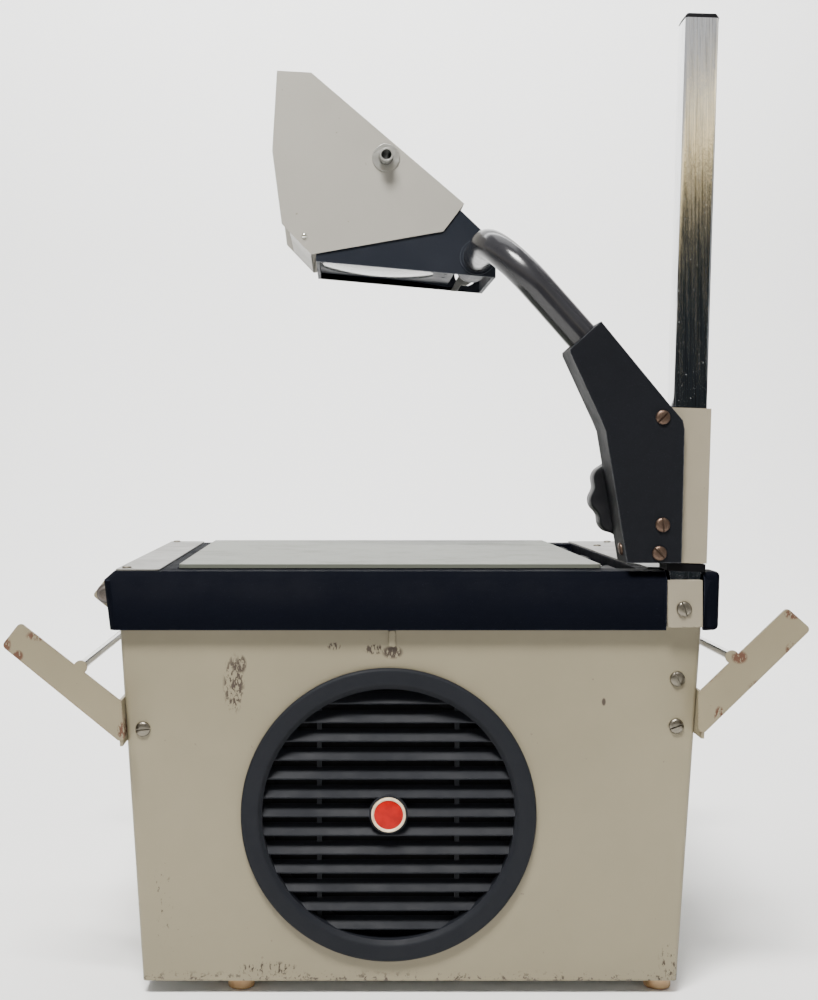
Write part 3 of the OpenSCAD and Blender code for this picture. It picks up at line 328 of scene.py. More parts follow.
def special_materials():
    k = Mat("foot_rubber")
    col = k.mix(k.ramp(k.noise(90, 4, 0.6), 0.35, 0.7), lin(196, 160, 118), lin(168, 132, 92))
    MATS["foot"] = k.out(col, k.ramp(k.noise(60, 3), 0.3, 0.7, 0.45, 0.65),
                         k.bump(k.noise(900, 2), 0.1, 0.0002), Subsurface_Weight=0.1)
    k = Mat("badge_red")
    col = k.mix(k.ramp(k.noise(120, 4, 0.6), 0.35, 0.7), lin(172, 8, 2), lin(146, 6, 2))
    MATS["badge_red"] = k.out(col, k.ramp(k.noise(80, 3), 0.3, 0.7, 0.30, 0.42),
                              k.bump(k.noise(260, 2), 0.05, 0.0002), Specular_IOR_Level=0.2)
    k = Mat("badge_cream")
    col = k.mix(k.ramp(k.noise(200, 4, 0.6), 0.35, 0.7), lin(232, 214, 184), lin(206, 182, 146))
    MATS["badge_cream"] = k.out(col, k.ramp(k.noise(80, 3), 0.3, 0.7, 0.2, 0.34),
                                k.bump(k.noise(400, 2), 0.05, 0.0002))
    k = Mat("hub_brown")
    col = k.mix(k.ramp(k.noise(60, 4, 0.6), 0.35, 0.7), lin(82, 74, 68), lin(62, 56, 52))
    MATS["hub"] = k.out(col, k.ramp(k.noise(60, 3), 0.3, 0.7, 0.45, 0.6), k.bump(k.noise(900, 3), 0.12, 0.0003))
    k = Mat("mirror_silver")
    col = k.mix(k.ramp(k.noise(500, 3, 0.6), 0.68, 0.74, 0, 0.4), lin(236, 238, 238), lin(190, 190, 186))
    MATS["mirror"] = k.out(col, k.ramp(k.noise(40, 5, 0.7), 0.4, 0.8, 0.01, 0.07), None, Metallic=1.0)
    k = Mat("socket_ceramic")
    col = k.mix(k.ramp(k.noise(90, 4, 0.6), 0.35, 0.7), lin(226, 218, 200), lin(196, 184, 160))
    MATS["ceramic"] = k.out(col, k.ramp(k.noise(60, 3), 0.3, 0.7, 0.5, 0.7),
                            k.bump(k.noise(600, 3), 0.15, 0.0003))
    k = Mat("nylon")
    col = k.mix(k.ramp(k.noise(70, 4, 0.6), 0.35, 0.7), lin(222, 216, 200), lin(198, 190, 168))
    MATS["nylon"] = k.out(col, k.ramp(k.noise(60, 3), 0.3, 0.7, 0.4, 0.55),
                          k.bump(k.noise(600, 3), 0.08, 0.0003))
    k = Mat("rocker_red")
    col = k.mix(k.ramp(k.noise(70, 4, 0.6), 0.35, 0.7), lin(150, 24, 18), lin(120, 18, 14))
    MATS["rocker"] = k.out(col, k.ramp(k.noise(60, 3), 0.3, 0.7, 0.25, 0.38),
                           k.bump(k.noise(600, 3), 0.06, 0.0003))
    # Fresnel sheet: concentric saw-tooth rings under the glass
    k = Mat("fresnel_sheet")
    o = k.xyz()
    c = P(OPTIC_X, 0, 0)
    dx, dy = k.math("SUBTRACT", o[0], c.x), k.math("SUBTRACT", o[1], c.y)
    r = k.math("SQRT", k.math("ADD", k.math("MULTIPLY", dx, dx), k.math("MULTIPLY", dy, dy)))
    saw = k.math("FRACT", k.math("MULTIPLY", r, 700))
    col = k.mix(k.ramp(saw, 0.0, 1.0, 0, 0.5), lin(206, 210, 204), lin(170, 174, 168))
    MATS["fresnel"] = k.out(col, k.ramp(k.noise(30, 4), 0.3, 0.7, 0.18, 0.30), k.bump(saw, 0.25, 0.0004),
                            Transmission_Weight=0.25)
    # mirror-finish reflector bowl
    MATS["reflector"] = metal("reflector_bowl", (226, 226, 224), 0.10, (2, 2, 2), (150, 148, 140), 0.2, 0.04)


special_materials()


# ---------------------------------------------------------------- mesh helpers
def make(name, bm, mat, body, smooth=40, replaces=(), bevel=0.0, seg=2):
    bmesh.ops.recalc_face_normals(bm, faces=bm.faces)
    me = bpy.data.meshes.new(name)
    bm.to_mesh(me)
    bm.free()
    ob = bpy.data.objects.new(name, me)
    bpy.context.scene.collection.objects.link(ob)
    me.materials.append(MATS[mat])
    me.shade_smooth()
    me.set_sharp_from_angle(angle=math.radians(smooth))
    if bevel:
        b = ob.modifiers.new("bevel", "BEVEL")
        b.width = bevel
        b.segments = seg
        b.limit_method = "ANGLE"
        b.angle_limit = math.radians(28)
        b.harden_normals = True
    if replaces:
        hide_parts(*replaces)
    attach(ob, body)


def refine(node, mat, bevel):
    """Cleaned copy of a CAD node with rolled edges and smooth rounds."""
    src = frame["nodes"][node]
    bm = bmesh.new()
    bm.from_mesh(src.data)
    bmesh.ops.transform(bm, matrix=src.matrix_world, verts=bm.verts)
    bmesh.ops.remove_doubles(bm, verts=bm.verts, dist=2e-6)
    bmesh.ops.dissolve_limit(bm, angle_limit=math.radians(0.6), verts=bm.verts, edges=bm.edges)
    make("v_" + node, bm, mat, BODY[node], 35, (node,), bevel)


def lathe(bm, profile, n=64, matrix=None):
    """Revolve (r, z) points in mm about z, closed at the axis."""
    rings = []
    for (r, z) in profile:
        if r < 1e-6:
            rings.append([bm.verts.new((0, 0, z / 1000))])
        else:
            rings.append([bm.verts.new((r / 1000 * math.cos(2 * math.pi * i / n),
                                        r / 1000 * math.sin(2 * math.pi * i / n), z / 1000)) for i in range(n)])
    made = [v for ring in rings for v in ring]
    for a, b in zip(rings, rings[1:]):
        for i in range(n):
            j = (i + 1) % n
            if len(a) == 1 and len(b) == 1:
                continue
            if len(a) == 1:
                bm.faces.new((a[0], b[i], b[j]))
            elif len(b) == 1:
                bm.faces.new((a[i], b[0], a[j]))
            else:
                bm.faces.new((a[i], b[i], b[j], a[j]))
    if matrix is not None:
        bmesh.ops.transform(bm, matrix=matrix, verts=made)
    return made


def to_axis(origin, z_axis, x_hint=(0, 0, 1)):
    """Matrix whose +Z is z_axis, at origin."""
    z = Vector(z_axis).normalized()
    x = Vector(x_hint) - z * Vector(x_hint).dot(z)
    if x.length < 1e-6:
        x = Vector((1, 0, 0)) - z * z.x
    x.normalize()
    y = z.cross(x)
    return Matrix.Translation(origin) @ Matrix((x, y, z)).transposed().to_4x4()


def arc(cx, cz, r, a0, a1, n):
    return [(cx + r * math.cos(math.radians(a0 + (a1 - a0) * i / n)),
             cz + r * math.sin(math.radians(a0 + (a1 - a0) * i / n))) for i in range(n + 1)]


def screw(bm, matrix, r, h, turn=0.0, slot_w=1.1, n=18):
    """Binder head with a real slot: two domed halves over a slot floor."""
    dome = [(1, 0.0), (1, 0.35), (0.97, 0.52), (0.88, 0.72), (0.72, 0.88), (0.45, 0.98)]
    levels = [(r * across, h * up) for across, up in dome]
    m = matrix @ Matrix.Rotation(math.radians(turn), 4, "Z")
    made = []
    for side in (0, 1):
        rows = []
        for (rr, z) in levels:
            a0 = math.asin(min(0.95, slot_w / 2 / rr))
            row = []
            for i in range(n + 1):
                a = a0 + (math.pi - 2 * a0) * i / n + side * math.pi
                row.append(bm.verts.new((rr / 1000 * math.cos(a), rr / 1000 * math.sin(a), z / 1000)))
            rows.append(row)
        for a, b in zip(rows, rows[1:]):
            for i in range(n):
                bm.faces.new((a[i], a[i + 1], b[i + 1], b[i]))
            bm.faces.new((a[n], a[0], b[0], b[n]))
        bm.faces.new(rows[-1])
        made += [v for row in rows for v in row]
    floor = [(r * 0.985, -0.2), (r * 0.985, h * 0.30), (0, h * 0.30)]
    bmesh.ops.transform(bm, matrix=m, verts=made)
    lathe(bm, floor, 36, m)


def tube(bm, path, radius, n=40, closed_ends=True):
    """Sweep a circle along points in metres without twist."""
    rings = []
    up = Vector((0, 0, 1))
    t0 = (path[1] - path[0]).normalized()
    u = (up - t0 * up.dot(t0)).normalized()
    for i, p in enumerate(path):
        t = (path[min(i + 1, len(path) - 1)] - path[max(i - 1, 0)]).normalized()
        u = (u - t * u.dot(t)).normalized()
        v = t.cross(u)
        turns = [2 * math.pi * j / n for j in range(n)]
        rings.append([bm.verts.new(p + (u * math.cos(a) + v * math.sin(a)) * radius) for a in turns])
    for a, b in zip(rings, rings[1:]):
        for j in range(n):
            k = (j + 1) % n
            bm.faces.new((a[j], a[k], b[k], b[j]))
    if closed_ends:
        bm.faces.new(rings[0])
        bm.faces.new(list(reversed(rings[-1])))


# wall frames
CASE_Z0, RISE = 9.2, 234.8
SLX, SLY = 14.4 / RISE, 8.0 / RISE


def case_hx(z):
    return 178 + (z - CASE_Z0) * SLX


def case_hy(z):
    return 155 + (z - CASE_Z0) * SLY


def near_wall(x, z, out=0.0):
    n = Vector((0, -1, -SLY)).normalized()
    return to_axis(P(x, -case_hy(z), z) + n * out / 1000, n)


def far_wall(x, z, out=0.0):
    n = Vector((0, 1, -SLY)).normalized()
    return to_axis(P(x, case_hy(z), z) + n * out / 1000, n)


def end_wall(y, z, side, out=0.0):
    n = Vector((side, 0, -SLX)).normalized()
    return to_axis(P(side * case_hx(z), y, z) + n * out / 1000, n)


# post frame: its origin is on the post's axis at the stage
LEAN = math.radians(1.75)
POST = Matrix.Translation(P(180.3, -159, 283)) @ Matrix.Rotation(LEAN, 4, "Y")
# places that several pieces share, in case-centred mm
FEET = [(x, y) for x in (-113.5, 168) for y in (-138, 138)]
WALL_SCREWS = [(-177.2, 178), (176.5, 211.4), (176, 180)]
FAN = near_wall(-14.5, 120.9)
CRADLE = Matrix.Translation(P(-64.3, 0, 502)) @ Matrix.Rotation(math.radians(5.15), 4, "Y")
HUBS = {"front": (-253.7, 237.5), "rear": (245.3, 247)}


def post_at(x, y, z):
    return POST @ Vector((x / 1000, y / 1000, z / 1000))


# ---------------------------------------------------------------- carried-over nodes
for node, mat, bevel in [
    ("case_shell", "case", 0.0006), ("base_plate", "zinc", 0.0004), ("exhaust_grille", "grille", 0.0005),
    ("switch_bezel", "inner", 0.0005), ("switch_rocker", "rocker", 0.0007), ("power_inlet", "inner", 0.0005),
    ("stage_frame", "frame", 0.0018), ("deck_left", "deck", 0.0004), ("deck_right", "deck", 0.0004),
    ("lid_frame", "inner", 0.0004), ("stage_glass", "glass", 0.0004), ("fresnel_lens", "fresnel", 0.0),
    ("lid_hinge_pin", "zinc", 0.0003), ("lamp_chassis", "alu", 0.0003), ("lamp_socket", "ceramic", 0.0006),
    ("condenser_ring", "inner", 0.0004), ("fan_bracket", "inner", 0.0003),
    ("fan_motor", "inner", 0.0006), ("fan_rotor", "inner", 0.0002), ("post", "chrome", 0.0),
    ("post_cap", "inner", 0.0005), ("post_socket", "zinc", 0.0005), ("post_bracket", "carriage", 0.0005),
    ("carriage_channel", "carriage", 0.0004), ("glide_liners", "nylon", 0.0002),
    ("housing_shell", "housing", 0.0009), ("housing_cover", "housing", 0.0008),
    ("drive_shaft", "zinc", 0.0003), ("drive_tyre", "knob", 0.0006),
    ("cradle", "cradle", 0.0006), ("lens_board", "cradle", 0.0005), ("lens_ring", "inner", 0.0003),
    ("pivot_collar", "tube", 0.0004), ("head_housing", "head", 0.0004), ("front_panel", "head", 0.0002),
    ("mirror_carrier", "inner", 0.0003), ("mirror", "mirror", 0.0004), ("spindle_washer", "zinc", 0.0002),
    ("mirror_shaft", "zinc", 0.0003),
    ("front_roll_bracket", "bracket", 0.0004), ("rear_roll_bracket", "bracket", 0.0004),
]:
    refine(node, mat, bevel)


# ---------------------------------------------------------------- screws
def screws():
    bm = bmesh.new()
    for i, (x, z) in enumerate(WALL_SCREWS):
        screw(bm, near_wall(x, z), 5, 2.4, (95, 20, 110)[i])
        screw(bm, far_wall(x, z), 5, 2.4, 70 - 30 * i)
    for i, y in enumerate((-120, 0, 120)):
        screw(bm, end_wall(y, 184.5, -1, 2), 4.5, 2.2, 40 * i)
        screw(bm, end_wall(y, 189.5, 1, 2), 4.5, 2.2, 50 * i)
    screw(bm, to_axis(P(178.4, -173, 258.7), (0, -1, 0)), 5, 2.4, 20)
    make("v_case_screws", bm, "nickel", "case", 30, ("case_screws",))
    bm = bmesh.new()
    for (x, y) in [(-189, -153), (-189, 153), (168, -60), (168, 96), (186, 20), (186, 150)]:
        screw(bm, to_axis(P(x, y, 284.2), (0, 0, 1), (1, 0, 0)), 3.2, 1.4, y, 0.8)
    make("v_deck_screws", bm, "nickel", "case", 30, ("deck_screws",))
    bm = bmesh.new()
    for i, (x, z) in enumerate([(-19.5, 100.5), (-17.6, 30.4), (-19.1, 11.8)]):
        screw(bm, to_axis(post_at(x, -17.5, z), (0, -1, 0)), 4.8, 2.2, (-45, 5, 45)[i])
    make("v_housing_screws", bm, "bronze", "carriage", 30, ("housing_screws",))
    bm = bmesh.new()
    for (x, y) in FEET:
        screw(bm, to_axis(P(x, y, 4), (0, 0, -1), (1, 0, 0)), 4.2, 2.6, 30)
        # hexagon nut inside the case
        lathe(bm, [(0, 14), (3.6, 14), (4.0, 13.6), (4.0, 10.9), (2, 10.9)], 6, Matrix.Translation(P(x, y, 0)))
    make("v_foot_screws", bm, "zinc", "case", 30, ("foot_screws",))


screws()


# ---------------------------------------------------------------- feet, badge, grille
def feet():
    bm = bmesh.new()
    for (x, y) in FEET:
        lathe(bm, [(2.3, 9.15), (9, 9.15), (9, 1.6)] + arc(7.4, 1.6, 1.6, 0, -90, 6)[1:] +
              [(5.2, 0), (4.8, 0.3), (4.7, 4), (2.3, 4), (2.3, 9.15)], 48, Matrix.Translation(P(x, y, 0)))
    make("v_rubber_feet", bm, "foot", "case", 40, ("rubber_feet",))


feet()


def badge():
    bm = bmesh.new()
    lathe(bm, [(0, 0.5), (9.7, 0.5), (9.7, 1.6), (8.5, 1.95), (5, 2.25), (0, 2.4)], 96, FAN)
    make("badge_enamel", bm, "badge_red", "case", 40, ("grille_badge",))
    bm = bmesh.new()
    rim = [(9.6, 0.4), (11.5, 0.4), (11.5, 1.6)] + arc(10.75, 1.75, 0.75, 0, 180, 8) + [(9.6, 1.6), (9.6, 0.4)]
    lathe(bm, rim, 96, FAN)
    make("badge_rim", bm, "badge_cream", "case", 40, ())


badge()


def grille():
    """Rounded ring and thirteen slanted louvres with rolled front lips."""
    bm = bmesh.new()
    ring = [(84.0, -7), (85.6, -7), (85.6, 0.05), (97.4, 0.05), (98, 0.6), (98, 2.2)]
    ring += arc(95.8, 2.2, 2.2, 0, 90, 6)[1:] + [(88.4, 4.6)] + arc(88.4, 1.2, 3.4, 90, 140, 5)[1:]
    ring += [(84.0, 1.6), (84.0, -7)]
    lathe(bm, ring, 160, FAN)
    # louvre section in (up, out): a slat that slopes down to a rolled front lip
    R = 84.3
    sect = [(5.2, -8.4), (-0.8, -0.95), (-1.3, -0.7), (-1.9, -0.9), (-2.3, -1.6), (3.4, -8.7), (4.4, -9.1)]
    for i in range(-6, 7):
        v0 = i * 12.6
        cols = 28
        rows = []
        for c in range(cols + 1):
            row = []
            for (dv, w) in sect:
                half = math.sqrt(max(1.0, R * R - (v0 + dv) ** 2))
                u = -half + 2 * half * c / cols
                sag = 0.12 * math.sin(c * 1.3 + i)
                up = v0 + dv + sag * 0.3
                row.append(bm.verts.new(FAN @ Vector((up / 1000, u / 1000, (w + 0.2) / 1000))))
            rows.append(row)
        k = len(sect)
        for a, b in zip(rows, rows[1:]):
            for j in range(k):
                bm.faces.new((a[j], a[(j + 1) % k], b[(j + 1) % k], b[j]))
        bm.faces.new(rows[0])
        bm.faces.new(list(reversed(rows[-1])))
    for u0 in (-46, 46):
        half = math.sqrt(R * R - u0 * u0)
        pts = [(-half, -9.6), (half, -9.6), (half, -7.6), (-half, -7.6)]
        lo = [bm.verts.new(FAN @ Vector((v / 1000, (u0 - 1.5) / 1000, w / 1000))) for v, w in pts]
        hi = [bm.verts.new(FAN @ Vector((v / 1000, (u0 + 1.5) / 1000, w / 1000))) for v, w in pts]
        for j in range(4):
            bm.faces.new((lo[j], lo[(j + 1) % 4], hi[(j + 1) % 4], hi[j]))
        bm.faces.new(lo)
        bm.faces.new(list(reversed(hi)))
    lathe(bm, [(0, -6), (12.6, -6), (12.9, -5.6), (12.9, 0.1), (12.4, 0.4), (0, 0.4)], 64, FAN)
    make("v_fan_grille", bm, "grille", "case", 35, ("fan_grille",))


grille()


# ---------------------------------------------------------------- knob
def focus_knob():
    """Hand knob with eleven soft lobes, a dished face and a raised boss."""
    bm = bmesh.new()
    m = to_axis(post_at(-24.1, 18.2, 49), (0, 1, 0), (0, 0, 1))
    n, lobes = 264, 11
    profile = [(0.0, 0.0), (0.55, 0.0), (0.95, 0.0), (0.985, 0.6), (1.0, 2.0), (1.0, 10), (1.0, 17.4),
               (0.985, 19.0), (0.95, 19.9), (0.86, 20.0), (0.78, 19.7), (0.72, 18.4), (0.56, 17.9),
               (0.47, 18.3), (0.43, 19.6), (0.405, 20.8), (0.38, 21.5), (0.34, 21.9), (0.2, 22.0), (0.0, 22.0)]
    rings = []
    for (f, z) in profile:
        ring = []
        for i in range(n):
            a = 2 * math.pi * i / n
            s = 0.5 + 0.5 * math.cos(a * lobes)
            lobe = 35 - 2.6 * (1 - s) ** 1.3
            blend_in = max(0.0, min(1.0, (f - 0.55) / 0.35))
            r = (35 * (1 - blend_in) + lobe * blend_in) * f
            ring.append(bm.verts.new((r / 1000 * math.cos(a), r / 1000 * math.sin(a), z / 1000)))
        rings.append(ring)
    for a, b in zip(rings, rings[1:]):
        for i in range(n):
            j = (i + 1) % n
            bm.faces.new((a[i], a[j], b[j], b[i]))
    bmesh.ops.transform(bm, matrix=m, verts=bm.verts)
    bmesh.ops.remove_doubles(bm, verts=bm.verts, dist=1e-6)
    make("v_focus_knob", bm, "knob", "knob", 50, ("focus_knob",))


focus_knob()


# ---------------------------------------------------------------- arm tube
def arm():
    rise = math.radians(48.5)
    u = Vector((math.cos(rise), 0, -math.sin(rise)))
    y = Vector((0, 1, 0))
    c = P(54.5, -159, 505)
    R = 0.045
    path = [c + u * d / 1000 for d in (138.4, 120, 100, 80, 60, 50)]
    for i in range(0, 25):
        a = math.radians(90 * i / 24)
        path.append(c + u * (R - R * math.sin(a)) + y * (R - R * math.cos(a)))
    path += [c + y * d / 1000 for d in (55, 75, 95, 103.5, 120, 140, 153.9)]
    bm = bmesh.new()
    tube(bm, path, 0.01075, 56, False)
    # inner wall, so that the ends read as a tube
    tube(bm, path, 0.00915, 40, False)
    make("v_arm_tube", bm, "tube", "carriage", 60, ("arm_tube",))


arm()


# ---------------------------------------------------------------- optics
def optics():
    bm = bmesh.new()
    R = 43
    prof = [(0, -4)]
    prof += [(R * k / 16, -4 * (1 - (k / 16) ** 2)) for k in range(1, 17)]
    prof += [(R, 2.0), (R, 4.5)]
    prof += [(R * k / 16, 4.5 + 7 * (1 - (k / 16) ** 2)) for k in range(15, 0, -1)] + [(0, 11.5)]
    lathe(bm, prof, 96, CRADLE @ Matrix.Translation((0.0462, 0, 0.005)))
    make("v_projection_lens", bm, "lens", "head", 50, ("projection_lens",))
    bm = bmesh.new()
    prof = [(0, 0), (39.6, 0), (40, 0.4), (40, 3)]
    prof += [(70 * math.sin(math.radians(a)), 70 * math.cos(math.radians(a)) - 54.3) for a in range(34, 0, -2)]
    prof += [(0, 15.7)]
    lathe(bm, prof, 80, Matrix.Translation(P(OPTIC_X, 0, 110.1)))
    make("v_condenser_glass", bm, "lens", "case", 50, ("condenser_glass",))
    bm = bmesh.new()
    base = Matrix.Translation(P(OPTIC_X, 0, 60.7))
    lathe(bm, [(0, 0), (5, 0), (6.4, 1.2), (7, 3), (7, 21), (6.6, 24), (5.4, 27), (3, 29.6), (1.2, 30.3),
               (0, 30.6)], 48, base)
    make("v_lamp_bulb", bm, "bulb", "case", 50, ("lamp_bulb",))
    bm = bmesh.new()
    for s in (-1, 1):
        lathe(bm, [(0, -9), (1, -9), (1, 2), (0.4, 4), (0.4, 10), (0, 10)], 16,
              base @ Matrix.Translation((s * 0.0032, 0, 0)))
    coil = [Vector((-0.0032 + 0.0064 * i / 24, 0.0008 * math.sin(i * 2.4), 0.0095 + 0.0008 * math.cos(i * 2.4)))
            for i in range(25)]
    tube(bm, [base @ point for point in coil], 0.00035, 8)
    make("lamp_pins", bm, "zinc", "case", 50, ())
    bm = bmesh.new()
    inner = [(36 * math.sin(math.radians(a)), 18 - 36 * math.cos(math.radians(a))) for a in range(20, 63, 2)]
    outer = [(37.2 * math.sin(math.radians(a)), 18 - 37.2 * math.cos(math.radians(a)))
             for a in range(62, 19, -2)]
    lathe(bm, inner + outer + [inner[0]], 96, Matrix.Translation(P(OPTIC_X, 0, 78)))
    make("v_reflector", bm, "reflector", "case", 50, ("reflector",))


optics()


# ---------------------------------------------------------------- roll brackets: rods, hubs
def rods_and_hubs():
    bm = bmesh.new()
    for (x, z) in [(-215.6, 221.4), (208.5, 228)]:
        lathe(bm, [(0, -178.4), (2.6, -178.4), (3, -178), (3, 178), (2.6, 178.4), (0, 178.4)], 32,
              to_axis(P(x, 0, z), (0, 1, 0)))
    make("v_tie_rods", bm, "rod", "case", 40, ("tie_rods",))
    for end, side in [("front", "near"), ("rear", "near"), ("front", "far"), ("rear", "far")]:
        name = "hub_%s_%s" % (end, side)
        x, z = HUBS[end]
        inward = 1 if side == "near" else -1
        bm = bmesh.new()
        m = to_axis(P(x, -177.4 * inward, z), (0, inward, 0))
        lathe(bm, [(0, -1.1), (3, -1.1), (3, 0.3), (8.4, 0.3), (9, 0.8), (9, 2.7), (8.5, 3.2), (6.9, 3.3),
                   (6.4, 3.8), (6.4, 12.6), (5.4, 13.8), (4.6, 13.9), (4.2, 13.2), (2.8, 13.1), (2.4, 12.2),
                   (0, 12.1)], 48, m)
        for a in range(0, 360, 60):          # drive ribs
            t = m @ Matrix.Rotation(math.radians(a), 4, "Z")
            pts = [(6.2, 4), (6.9, 4.4), (6.9, 12), (6.2, 12.6)]
            lo = [bm.verts.new(t @ Vector((r / 1000, -0.0005, w / 1000))) for r, w in pts]
            hi = [bm.verts.new(t @ Vector((r / 1000, 0.0005, w / 1000))) for r, w in pts]
            for j in range(4):
                bm.faces.new((lo[j], lo[(j + 1) % 4], hi[(j + 1) % 4], hi[j]))
            bm.faces.new(lo)
            bm.faces.new(list(reversed(hi)))
        if side == "far":                      # knurled winding button outside the arm
            n = 96
            rows = []
            for (r, w) in [(0, -2.4), (7.6, -2.4), (8.5, -3.2), (8.5, -14.8), (7.8, -15.8), (6.8, -16),
                           (6.2, -15.4), (0, -15.2)]:
                row = []
                for i in range(n):
                    k = 1 - 0.045 * (i % 4 in (0, 1)) * (1 if r > 8 else 0)
                    a = 2 * math.pi * i / n
                    spoke = r * k / 1000
                    row.append(bm.verts.new(m @ Vector((spoke * math.cos(a), spoke * math.sin(a), w / 1000))))
                rows.append(row)
            for a, b in zip(rows, rows[1:]):
                for i in range(n):
                    bm.faces.new((a[i], a[(i + 1) % n], b[(i + 1) % n], b[i]))
            lathe(bm, [(3, 0), (3, -3)], 32, m)
            bmesh.ops.remove_doubles(bm, verts=bm.verts, dist=1e-6)
        make("v_" + name, bm, "hub", BODY[name], 35, (name,))


rods_and_hubs()


def rivets():
    bm = bmesh.new()
    for s in (-1, 1):
        lathe(bm, [(0, -1)] + [(2.3, -0.1)] + arc(0, -0.55, 2.4, 14, 90, 8)[1:-1] + [(0, 1.75)], 40,
              to_axis(P(-72.9, s * 55, 520.5), (0, s, 0)))
    make("v_head_rivets", bm, "rivet", "head", 50, ("head_rivets",))


rivets()


# ---------------------------------------------------------------- small fittings
def prism(bm, points, y0, y1):
    """Plate in x and z with its corners in case-centred mm, from y0 to y1."""
    a = [bm.verts.new(P(x, y0, z)) for x, z in points]
    b = [bm.verts.new(P(x, y1, z)) for x, z in points]
    n = len(points)
    for i in range(n):
        bm.faces.new((a[i], a[(i + 1) % n], b[(i + 1) % n], b[i]))
    bm.faces.new(list(reversed(a)))
    bm.faces.new(b)


def fittings():
    # near-black collar round the foot of the post, painted shade: it stands in for the shadowed gap there
    bm = bmesh.new()
    outer, inner = 12.6, 11.06
    low, high = 0.1, 5.3
    ring = []
    for h, z in [(outer, low), (outer, high), (inner, high), (inner, low)]:
        ring.append([bm.verts.new(post_at(sx * h, sy * h, z))
                     for sx, sy in [(-1, -1), (1, -1), (1, 1), (-1, 1)]])
    for i in range(4):
        a, b = ring[i], ring[(i + 1) % 4]
        for j in range(4):
            bm.faces.new((a[j], a[(j + 1) % 4], b[(j + 1) % 4], b[j]))
    make("post_foot_shade_collar", bm, "inner", "case", 30, (), 0.0005)
    bm = bmesh.new()
    y = -case_hy(238)
    prism(bm, [(-14.6, 233.5), (-14.0, 232.6), (-10.6, 232.6), (-10.0, 233.5), (-10.0, 243.5), (-14.6, 243.5)],
          y - 1.6, y - 0.1)
    make("front_tab", bm, "case", "case", 30, (), 0.0004)
    bm = bmesh.new()
    low, high = 244.5, 283.2
    prism(bm, [(192.3, low), (201.4, low), (202.6, high), (192.3, high)], -172.9, -148)
    make("frame_corner", bm, "frame", "case", 40, (), 0.0034, 5)
    # near-black disc behind the louvres: a dust filter that also stands in for the shade inside the case,
    # painted shade
    bm = bmesh.new()
    lathe(bm, [(0, -12.6), (83.6, -12.6), (84.2, -12.2), (84.2, -11.2), (83.6, -10.8), (0, -10.8)], 96, FAN)
    make("filter_shade_disc", bm, "inner", "case", 40, ())
    bm = bmesh.new()
    prism(bm, [(42.1, 491.6), (47.5, 491.4), (50.6, 496.6), (54.4, 495.6), (58.5, 498.2), (63.7, 503.8),
               (64.2, 515), (48, 515), (48.8, 504.3)], 49.2, 50.4)
    make("head_clip", bm, "zinc", "head", 30, (), 0.0003)
    bm = bmesh.new()
    screw(bm, to_axis(P(139.2, -163, 297.5), (-0.987, 0, -0.162)), 4.2, 1.8, 30)
    make("side_screw", bm, "bronze", "carriage", 30, ())


fittings()


# ---------------------------------------------------------------- floor and light
def stage_set():
    bm = bmesh.new()
    prof = [(-1.6, 0.0), (1.9, 0.0)]
    prof += [(1.9 + 0.9 * math.sin(math.radians(a)), 0.9 - 0.9 * math.cos(math.radians(a)))
             for a in range(6, 91, 6)]
    prof += [(2.8, 4.2)]
    rows = [[bm.verts.new((x, y, z)) for (y, z) in prof] for x in (-5, 5)]
    for i in range(len(prof) - 1):
        bm.faces.new((rows[0][i], rows[1][i], rows[1][i + 1], rows[0][i + 1]))
    me = bpy.data.meshes.new("floor")
    bm.to_mesh(me)
    bm.free()
    floor = bpy.data.objects.new("floor", me)
    bpy.context.scene.collection.objects.link(floor)
    me.shade_smooth()
    k = Mat("floor_paper")
    col = k.mix(k.ramp(k.noise(3, 3), 0.3, 0.7, 0, 0.3), lin(244, 244, 243), lin(240, 240, 239))
    me.materials.append(k.out(col, k.ramp(k.noise(40, 3), 0.3, 0.7, 0.7, 0.8),
                              k.bump(k.noise(500, 2), 0.02, 0.0002)))


stage_set()


def area(name, loc, target, size, power, color=(1, 1, 1)):
    d = bpy.data.lights.new(name, "AREA")
    d.shape = "RECTANGLE"
    d.size, d.size_y = size
    d.energy = power
    d.color = color
    o = bpy.data.objects.new(name, d)
    bpy.context.scene.collection.objects.link(o)
    o.location = loc
    o.rotation_euler = (Vector(target) - Vector(loc)).to_track_quat("-Z", "Y").to_euler()


area("key", (-0.35, -1.30, 2.35), (0, -0.1, 0.25), (0.8, 0.6), 150, (1.0, 0.985, 0.955))
area("top", (0.1, 0.6, 2.9), (0, 0.3, 0.2), (1.6, 1.6), 18)
area("back", (0.0, 1.4, 2.4), (0, 2.7, 0.7), (3.6, 1.2), 140)
area("fill", (2.4, -1.2, 1.3), (0, 0, 0.3), (1.4, 1.6), 4, (0.96, 0.98, 1.0))


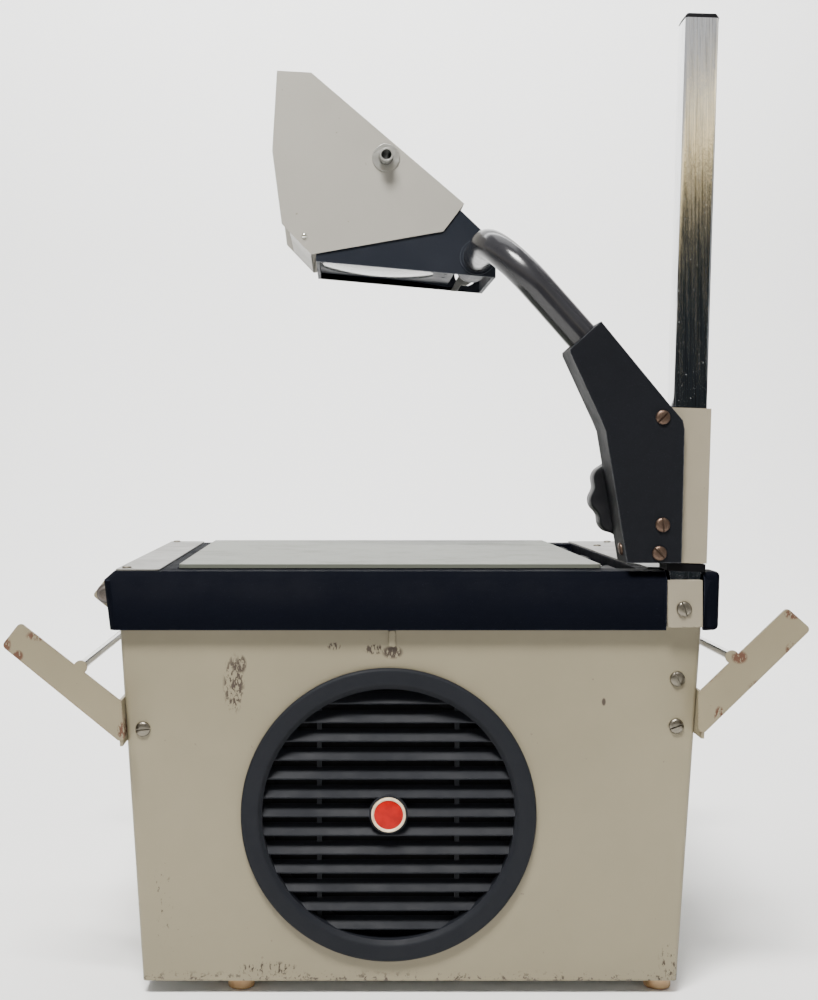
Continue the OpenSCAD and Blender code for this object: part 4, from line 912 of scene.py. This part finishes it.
def world():
    """Studio surroundings: glossy rays see a graded wall, diffuse rays a dim grey, the camera pale paper."""
    w = bpy.data.worlds.new("studio")
    bpy.context.scene.world = w
    w.use_nodes = True
    t = w.node_tree
    bg = t.nodes["Background"]
    tc = t.nodes.new("ShaderNodeTexCoord")
    sep = t.nodes.new("ShaderNodeSeparateXYZ")
    t.links.new(tc.outputs["Generated"], sep.inputs[0])
    up = t.nodes.new("ShaderNodeMapRange")
    up.inputs["From Min"].default_value = 0.0
    up.inputs["From Max"].default_value = 0.5
    t.links.new(sep.outputs[2], up.inputs["Value"])
    ramp = t.nodes.new("ShaderNodeValToRGB")
    # height against colour: dark low down, a warm band, then a bright ceiling
    stops = [(0.0, (0.030, 0.036, 0.042)), (0.20, (0.038, 0.047, 0.054)), (0.29, (0.080, 0.088, 0.084)),
             (0.335, (0.15, 0.14, 0.11)), (0.375, (0.75, 0.58, 0.28)), (0.405, (3.6, 2.8, 1.45)),
             (0.45, (3.2, 2.75, 1.85)), (0.49, (1.25, 1.2, 1.15)), (0.56, (1.35, 1.35, 1.38)),
             (0.62, (1.35, 1.35, 1.38)), (0.80, (0.75, 0.75, 0.76)), (1.0, (0.65, 0.65, 0.66))]
    e = ramp.color_ramp.elements
    e[0].position, e[0].color = stops[0][0], stops[0][1] + (1,)
    e[1].position, e[1].color = stops[-1][0], stops[-1][1] + (1,)
    for p, c in stops[1:-1]:
        s = e.new(p)
        s.color = c + (1,)
    t.links.new(up.outputs[0], ramp.inputs[0])
    back = t.nodes.new("ShaderNodeMapRange")
    back.interpolation_type = "SMOOTHSTEP"
    back.inputs["From Min"].default_value = 0.75
    back.inputs["From Max"].default_value = 0.10
    t.links.new(sep.outputs[1], back.inputs["Value"])
    mix = t.nodes.new("ShaderNodeMix")
    mix.data_type = "RGBA"
    t.links.new(back.outputs[0], mix.inputs["Factor"])
    mix.inputs[6].default_value = (0.95, 0.95, 0.95, 1)
    t.links.new(ramp.outputs[0], mix.inputs[7])
    lp = t.nodes.new("ShaderNodeLightPath")
    soft = t.nodes.new("ShaderNodeMix")
    soft.data_type = "RGBA"
    t.links.new(lp.outputs["Is Diffuse Ray"], soft.inputs["Factor"])
    t.links.new(mix.outputs[2], soft.inputs[6])
    soft.inputs[7].default_value = (0.07, 0.072, 0.076, 1)
    seen = t.nodes.new("ShaderNodeMix")
    seen.data_type = "RGBA"
    t.links.new(lp.outputs["Is Camera Ray"], seen.inputs["Factor"])
    t.links.new(soft.outputs[2], seen.inputs[6])
    seen.inputs[7].default_value = (0.93, 0.93, 0.93, 1)
    t.links.new(seen.outputs[2], bg.inputs["Color"])
    bg.inputs["Strength"].default_value = 0.55


world()
